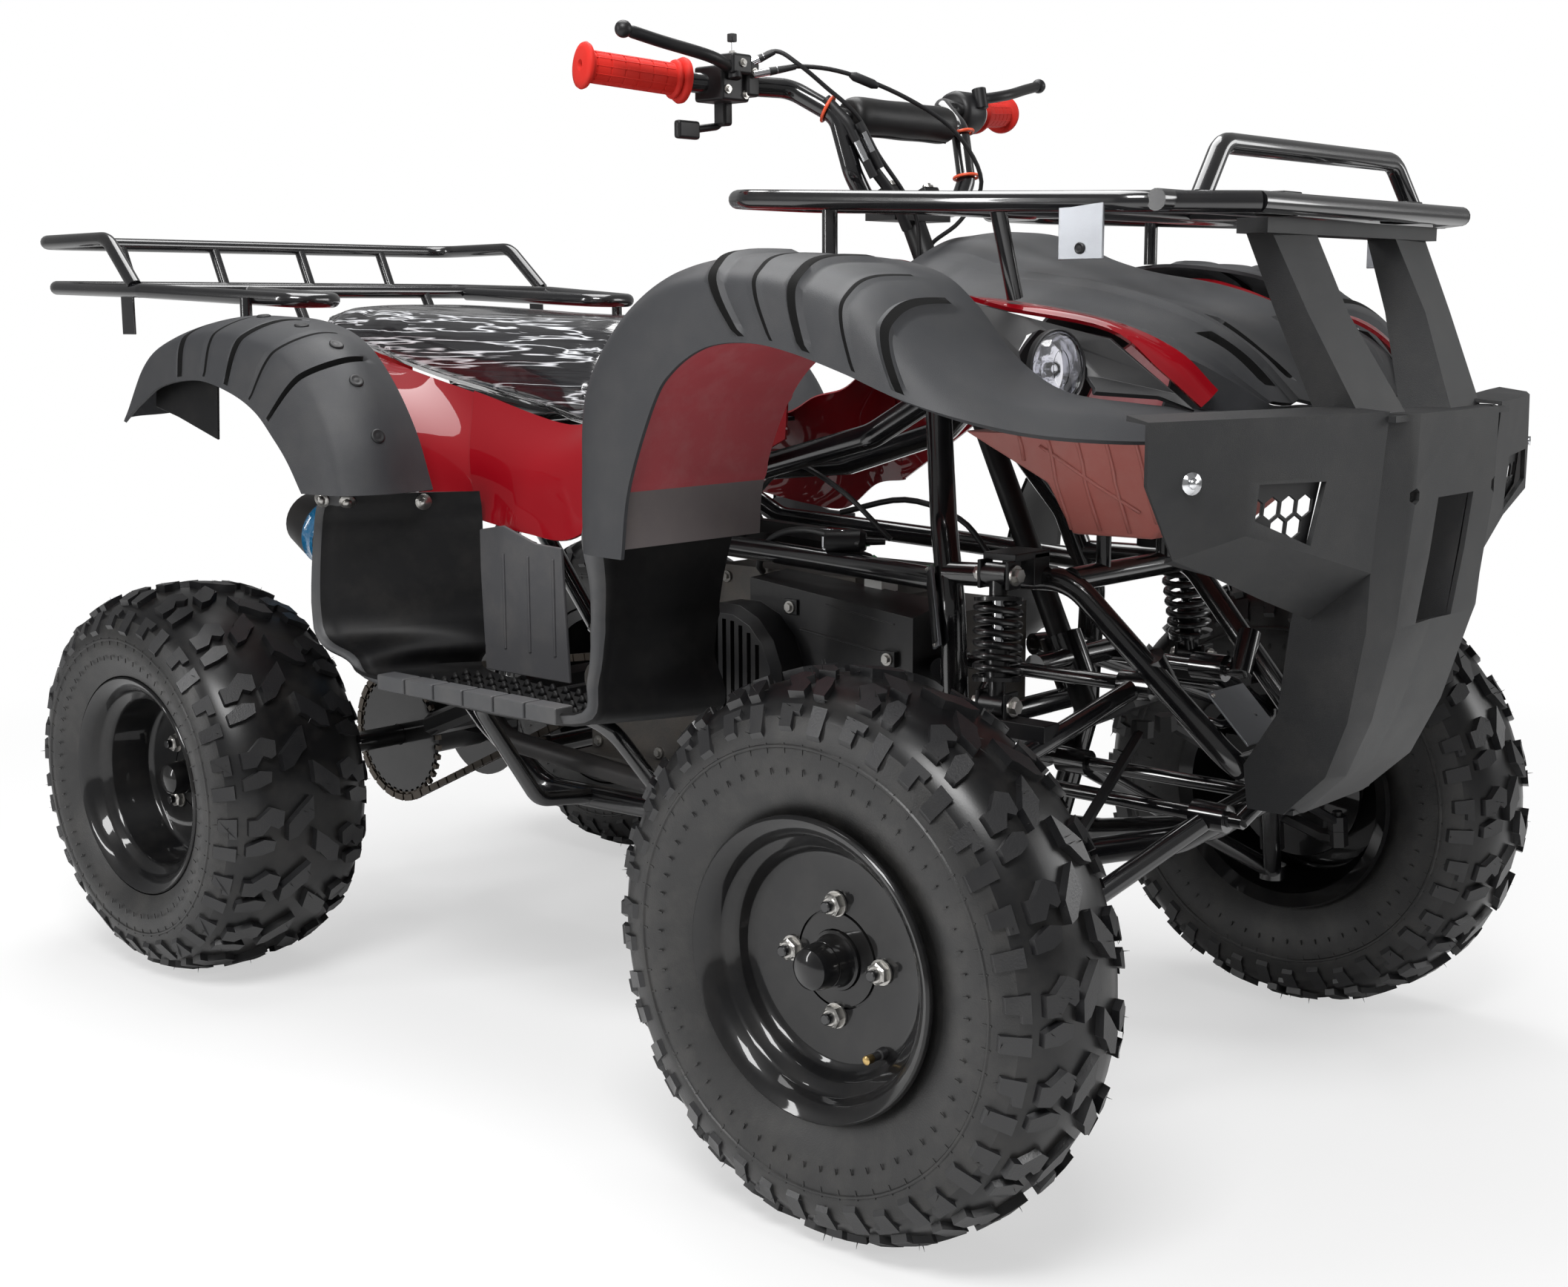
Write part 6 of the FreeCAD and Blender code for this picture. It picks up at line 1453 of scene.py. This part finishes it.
def make_bars():
    work, clamp = bmesh.new(), bmesh.new()
    tube(work, [(-x, y, z) for x, y, z in BAR[::-1]] + BAR, 11, 30, 1, 20)
    tube(work, across([(-114, BRACE_Y, BRACE_Z)]), 8)
    axis = (COLUMN_TOP - COLUMN_FOOT).normalized()
    tilt = axis.to_track_quat("Z", "Y").to_matrix()
    top = COLUMN_TOP + axis * 0.026
    for side in SIDES:
        block(clamp, top, (side * 34 - 14, -18, -6), (side * 34 + 14, 18, 6), tilt)
    heads = bolts([(beside(top, side * 34, 0, 0) + tilt @ Vector((0, w * 0.012, 0.006)), axis) for side in SIDES
                   for w in SIDES], ZINC, 0.005)
    placed("handlebar_tube", [form(work, BLACK_GLOSS), form(clamp, BLACK_SATIN, 0.002), heads], "steering",
           ["handlebar"], "frame_paint", 40)
    softened("steering_column", "column", "steering", 0.0015, BLACK_SATIN)
    placed("hand_grips", grip_mesh(), "steering", ["grips"], "red_rubber", 50)


def make_pad():
    work, seams = bmesh.new(), bmesh.new()
    ends = [(0.083, 0.0214), (0.0885, 0.0192), (0.0915, 0.014), (0.0912, 0.0085)]
    line = [(-x, r) for x, r in ends[::-1]]
    line += [(-0.083 + 0.166 * k / 24, 0.0218 + 0.0003 * math.sin(k * 0.6)) for k in range(1, 24)]
    spun(work, line + ends, at(0, BRACE_Y, BRACE_Z))
    piece = placed("bar_pad_sleeve", puffed(mesh_of(work), 0.003, 0.0012, 8), "steering", ["bar_pad"], "pad_cover",
                   None, PAD_BLACK)
    for a in (0.4, -1.9):
        out = Vector((0, math.cos(a), math.sin(a))) * 0.0222
        pipe(seams, [at(x, BRACE_Y, BRACE_Z) + out for x in (-80, 80)], 0.0007, 0, 6)
    placed("bar_pad_seams", form(seams, GROOVE_BLACK), "steering", slot="pad_cover")


def make_controls():
    """Brake perch and lever, thumb throttle, switch housing, with their screws and adjusters."""
    start, other = at(-222, -206, 1128), at(222, -206, 1128)
    work, soft, bright, ring, cap = [bmesh.new() for _ in range(5)]
    for low, high in HOUSING:
        block(soft, start, low, high)
    pipe(work, [beside(start, *p) for p in ((14, 10, -36), (10, 14, -42), (-22, 19, -47))], 0.0042, 0.006, 12)
    for base, way in ((start, 1), (other, -1)):
        lever = smooth_line([beside(base, x * way, y, z) for x, y, z in LEVER], 6)
        pipe(work, lever, 0.0066, 0, 14, ends=(0.009, 0.0052))
        ball(work, beside(base, -152.5 * way, -9, 44.8), 0.0092)
        spun(work, [(-0.013, 0.0075), (-0.012, 0.009), (0.012, 0.009), (0.013, 0.0075)],
             beside(base, -4 * way, -24, 17), (0, 0.2, 1), 20)
    spun(work, [(-0.024, 0.020), (-0.022, 0.025), (-0.016, 0.027), (0.010, 0.027), (0.018, 0.024), (0.022, 0.018)],
         other, sides=32)
    collar(ring, other, (1, 0, 0), 0.0222, 0.0262, 0.0135, 0.0190, 32)
    pipe(bright, [beside(start, 2, -18, 30), beside(start, 2, -18, 47)], 0.0008, 0, 8)
    block(cap, start, (-2, -22, 45), (6, -14, 54))
    screws = [(beside(start, *place), way) for place, way in CONTROL_SCREWS]
    placed("bar_levers", [form(work, BLACK_SATIN), form(soft, BLACK_SATIN, 0.0035, 3), form(bright, CHROME),
                          form(cap, GROOVE_BLACK, 0.001), bolts(screws, ZINC, 0.0032, 1.5), form(ring, WIRE_WHITE)],
           "steering", ["bar_controls"], "black_plastic", 40)


def make_cables():
    """Cables with their sleeves, the taped bundle with two connectors, and the orange ties."""
    work, silver, ties = bmesh.new(), bmesh.new(), bmesh.new()
    for way in (BRAKE, THROTTLE):
        line = [at(*p) for p in way]
        pipe(work, smooth_line(line, 6), 0.0025, 0, 12)
        pipe(silver, [line[0] + (line[0] - line[1]).normalized() * 0.004, line[0].lerp(line[1], 0.5)], 0.0042, 0, 12)
        pipe(work, [line[0].lerp(line[1], 0.3), line[0].lerp(line[1], 0.95)], 0.0044, 0, 12, ends=(0.0046, 0.0032))
    sleeve = [line[2].lerp(line[3], share) for share in (0.05, 0.12, 0.42, 0.5)]
    pipe(work, sleeve, 0.0052, 0, 12, ends=(0.003, 0.003))
    bundle = [at(*p) for p in BUNDLE]
    pipe(work, bundle, 0.0062, 0.03, 14)
    for shift in ((4, -9, 4), (-6, -8, -6)):
        first, last = (beside(bundle[1].lerp(bundle[2], share), *shift) for share in (0.35, 1.0))
        pipe(silver, [first, last], 0.0042, 0, 12)
        pipe(work, [first + (first - last) * 0.35, first + (last - first) * 0.08], 0.0052, 0, 12)
        pipe(work, [last + (last - first) * 0.65, last - (last - first) * 0.08], 0.0050, 0, 12)
    collar(work, COLUMN_TOP, COLUMN_TOP - COLUMN_FOOT, -0.068, -0.058, 0.0145, 0.024)
    wire = [(0.0019 * math.sin(math.pi * k / 4), 0.0148 + 0.0019 * math.cos(math.pi * k / 4)) for k in range(8)]
    for place, way in TIES:
        spun(ties, wire, at(*place), way, 24, closed=True)
    placed("cables", [form(work, GROOVE_BLACK), form(silver, CHROME), form(ties, TIE_ORANGE)], "steering",
           ["bar_cables"], "cable_sheath", 45)


def oval(forward, grow, side):
    """Points of an oval ring round a headlight's axis."""
    axis = Vector(LAMP_WAY).normalized()
    wide = axis.cross(Vector((0, 0, 1))).normalized()
    up = wide.cross(axis)
    middle = at(*LAMP_PLACE) + axis * (forward / 1000)
    ring = []
    for k in range(LAMP_STEPS):
        t = 2 * math.pi * k / LAMP_STEPS
        p = middle + wide * ((LAMP_WIDE + grow) / 1000 * math.cos(t)) + up * ((LAMP_TALL + grow) / 1000 * math.sin(t))
        ring.append(Vector((-side * p.x, p.y, p.z)))
    return ring


def make_lamps():
    """Headlights: bowl, bulb, clear lens and black rim. Tail lamp with rounded edges."""
    meshes, bulbs = [], bmesh.new()
    for finish, steps, closed in LAMP_RINGS:
        work = bmesh.new()
        for side in SIDES:
            rows = [[work.verts.new(p) for p in oval(f, g, side)] for f, g in steps]
            banded(work, list(zip(rows, rows[1:])) + ([(rows[-1], rows[0])] if closed else []))
            if not closed:
                work.faces.new(rows[0])
                work.faces.new(rows[-1][::-1])
        meshes.append(form(work, finish))
    for side in SIDES:
        place, way = ((-side * x, y, z) for x, y, z in (LAMP_PLACE, LAMP_WAY))
        spun(bulbs, BULB, at(*place), way, 20)
    placed("lamps_front", meshes + [form(bulbs, CHROME)], CHASSIS, ["headlights"], "lamp_glass", 30)
    softened("tail_lamp", "lamp_rear", CHASSIS, 0.003, RED_LENS, 3)


def wire(work, line, radius):
    pipe(work, smooth_line([at(*p) for p in line], 5), radius / 1000, 0, 10)


def make_engine():
    """Cases with rounded edges, cooling fins, shroud, ignition coil, hoses, wires and fixings."""
    softened("engine", "engine_cases", CHASSIS, 0.006, ALLOY, 3)
    softened("fan_shroud", "fan_cover", CHASSIS, 0.004, SHROUD_BLACK, 3)
    softened("carburettor", "intake", CHASSIS, 0.003, SHROUD_BLACK)
    fin, black, bright, green, white, hose, clips = [bmesh.new() for _ in range(7)]
    box(fin, at(-70, -420, 392), at(70, -296, 394.4))
    fins = grown("row", bevelled(mesh_of(fin), 0.0006), ALLOY, Count=9, Step=(0, 0, 0.0165))
    coil = at(-118, -300, 622)
    spun(black, [(-0.024, 0.008), (-0.022, 0.013), (0.018, 0.014), (0.024, 0.010)], coil, (0.55, -0.83, 0), 24)
    spun(black, [(0.022, 0.005), (0.046, 0.004)], coil, (0.55, -0.83, 0), 16)
    block(bright, coil, (-6, -2, 10), (10, 34, 13))
    block(bright, coil, (-6, 28, -12), (10, 31, 13))
    for line, radius in HOSES:
        wire(hose, line, radius)
    wire(green, GREEN_WIRE, 1.5)
    wire(white, WHITE_WIRE, 1.5)
    box(white, at(-96, -336, 562), at(-66, -310, 580))
    box(green, at(-108, -322, 616), at(-100, -306, 622))
    for x, y, z in ((-20, -20, 668), (-6, 30, 640)):
        ball(bright, at(x, y, z), 0.008, (0, 0, 1))
    holes = []
    for y, z in ((-250, 545), (-395, 500)):
        box(clips, at(-158, y - 10, z - 9), at(-150, y + 10, z + 9))
        holes.append((at(-159, y, z), (-1, 0, 0)))
    for y, step, z, count, radius in ((-262, 10, 520, 13, 0.0016), (-300, 9, 552, 12, 0.0012)):
        seam = drawn_on("fan_shroud", [at(-500, y - step * k, z - 1.2 * k) for k in range(count)], (1, 0, 0))
        pipe(hose, seam, radius, 0, 6)
    holes += [(at(*place), (-1, 0, 0)) for place in CASE_BOLTS]
    for y, z, radius, turns in COVER_BOLTS:
        holes += [(at(163, y + radius * math.cos(a), z + radius * math.sin(a)), (1, 0, 0)) for a in turns]
    placed("engine_fittings",
           [fins, form(black, SHROUD_BLACK), form(bright, CHROME, 0.0006), form(hose, GROOVE_BLACK),
            form(green, WIRE_GREEN), form(white, WIRE_WHITE, 0.0004), form(clips, SHROUD_BLACK, 0.001),
            bolts(holes, ZINC, 0.0048, 1.5)], CHASSIS, slot="engine_alloy", sharp=40)


def make_plates():
    """Two blank plates: one on a frame tube, and one at the front on its arm."""
    plates, field, front, arm = [bmesh.new() for _ in range(4)]
    middle, spot = at(-130, -456, 560), at(-58, -785, 474)
    tilt = (at(-138, -470, 560) - at(-118, -442, 650)).normalized().to_track_quat("Z", "Y").to_matrix()
    slope = Matrix.Rotation(math.radians(45), 3, "X")
    block(plates, middle, (-20, -1.2, -45), (-16.5, 22, 45), tilt)
    block(field, middle, (-20.6, 1.2, -40), (-19.8, 19.6, 40), tilt)
    block(front, spot, (-36, -34, -1), (36, 34, 1), slope)
    tube(arm, [(94, -740, 474), (80, -770, 464), (40, -786, 470)], 4.5, 12, -1)
    ends = [(middle + tilt @ Vector((-0.0206, 0.0104, s * 0.0425)), tilt @ Vector((-1, 0, 0))) for s in SIDES]
    corners = [(spot + slope @ Vector((s * 0.031, -s * 0.029, 0.001)), slope @ Vector((0, 0, 1))) for s in SIDES]
    placed("blank_plates",
           [form(plates, TAB_STEEL, 0.0005), form(field, GROOVE_BLACK), bolts(ends, ZINC, 0.0016, 1.3),
            form(front, TAB_STEEL, 0.0004), form(arm, BLACK_GLOSS), bolts(corners, ZINC, 0.0018, 1.4)],
           CHASSIS, slot="frame_paint")


for step in (aim_camera, studio, dress_nodes, make_wheels, make_panels, make_nose_box, make_footwells, make_seat,
             make_frame, make_racks, make_suspension, make_drive, make_bumper, make_bars, make_pad, make_controls,
             make_cables, make_lamps, make_engine, make_plates):
    step()
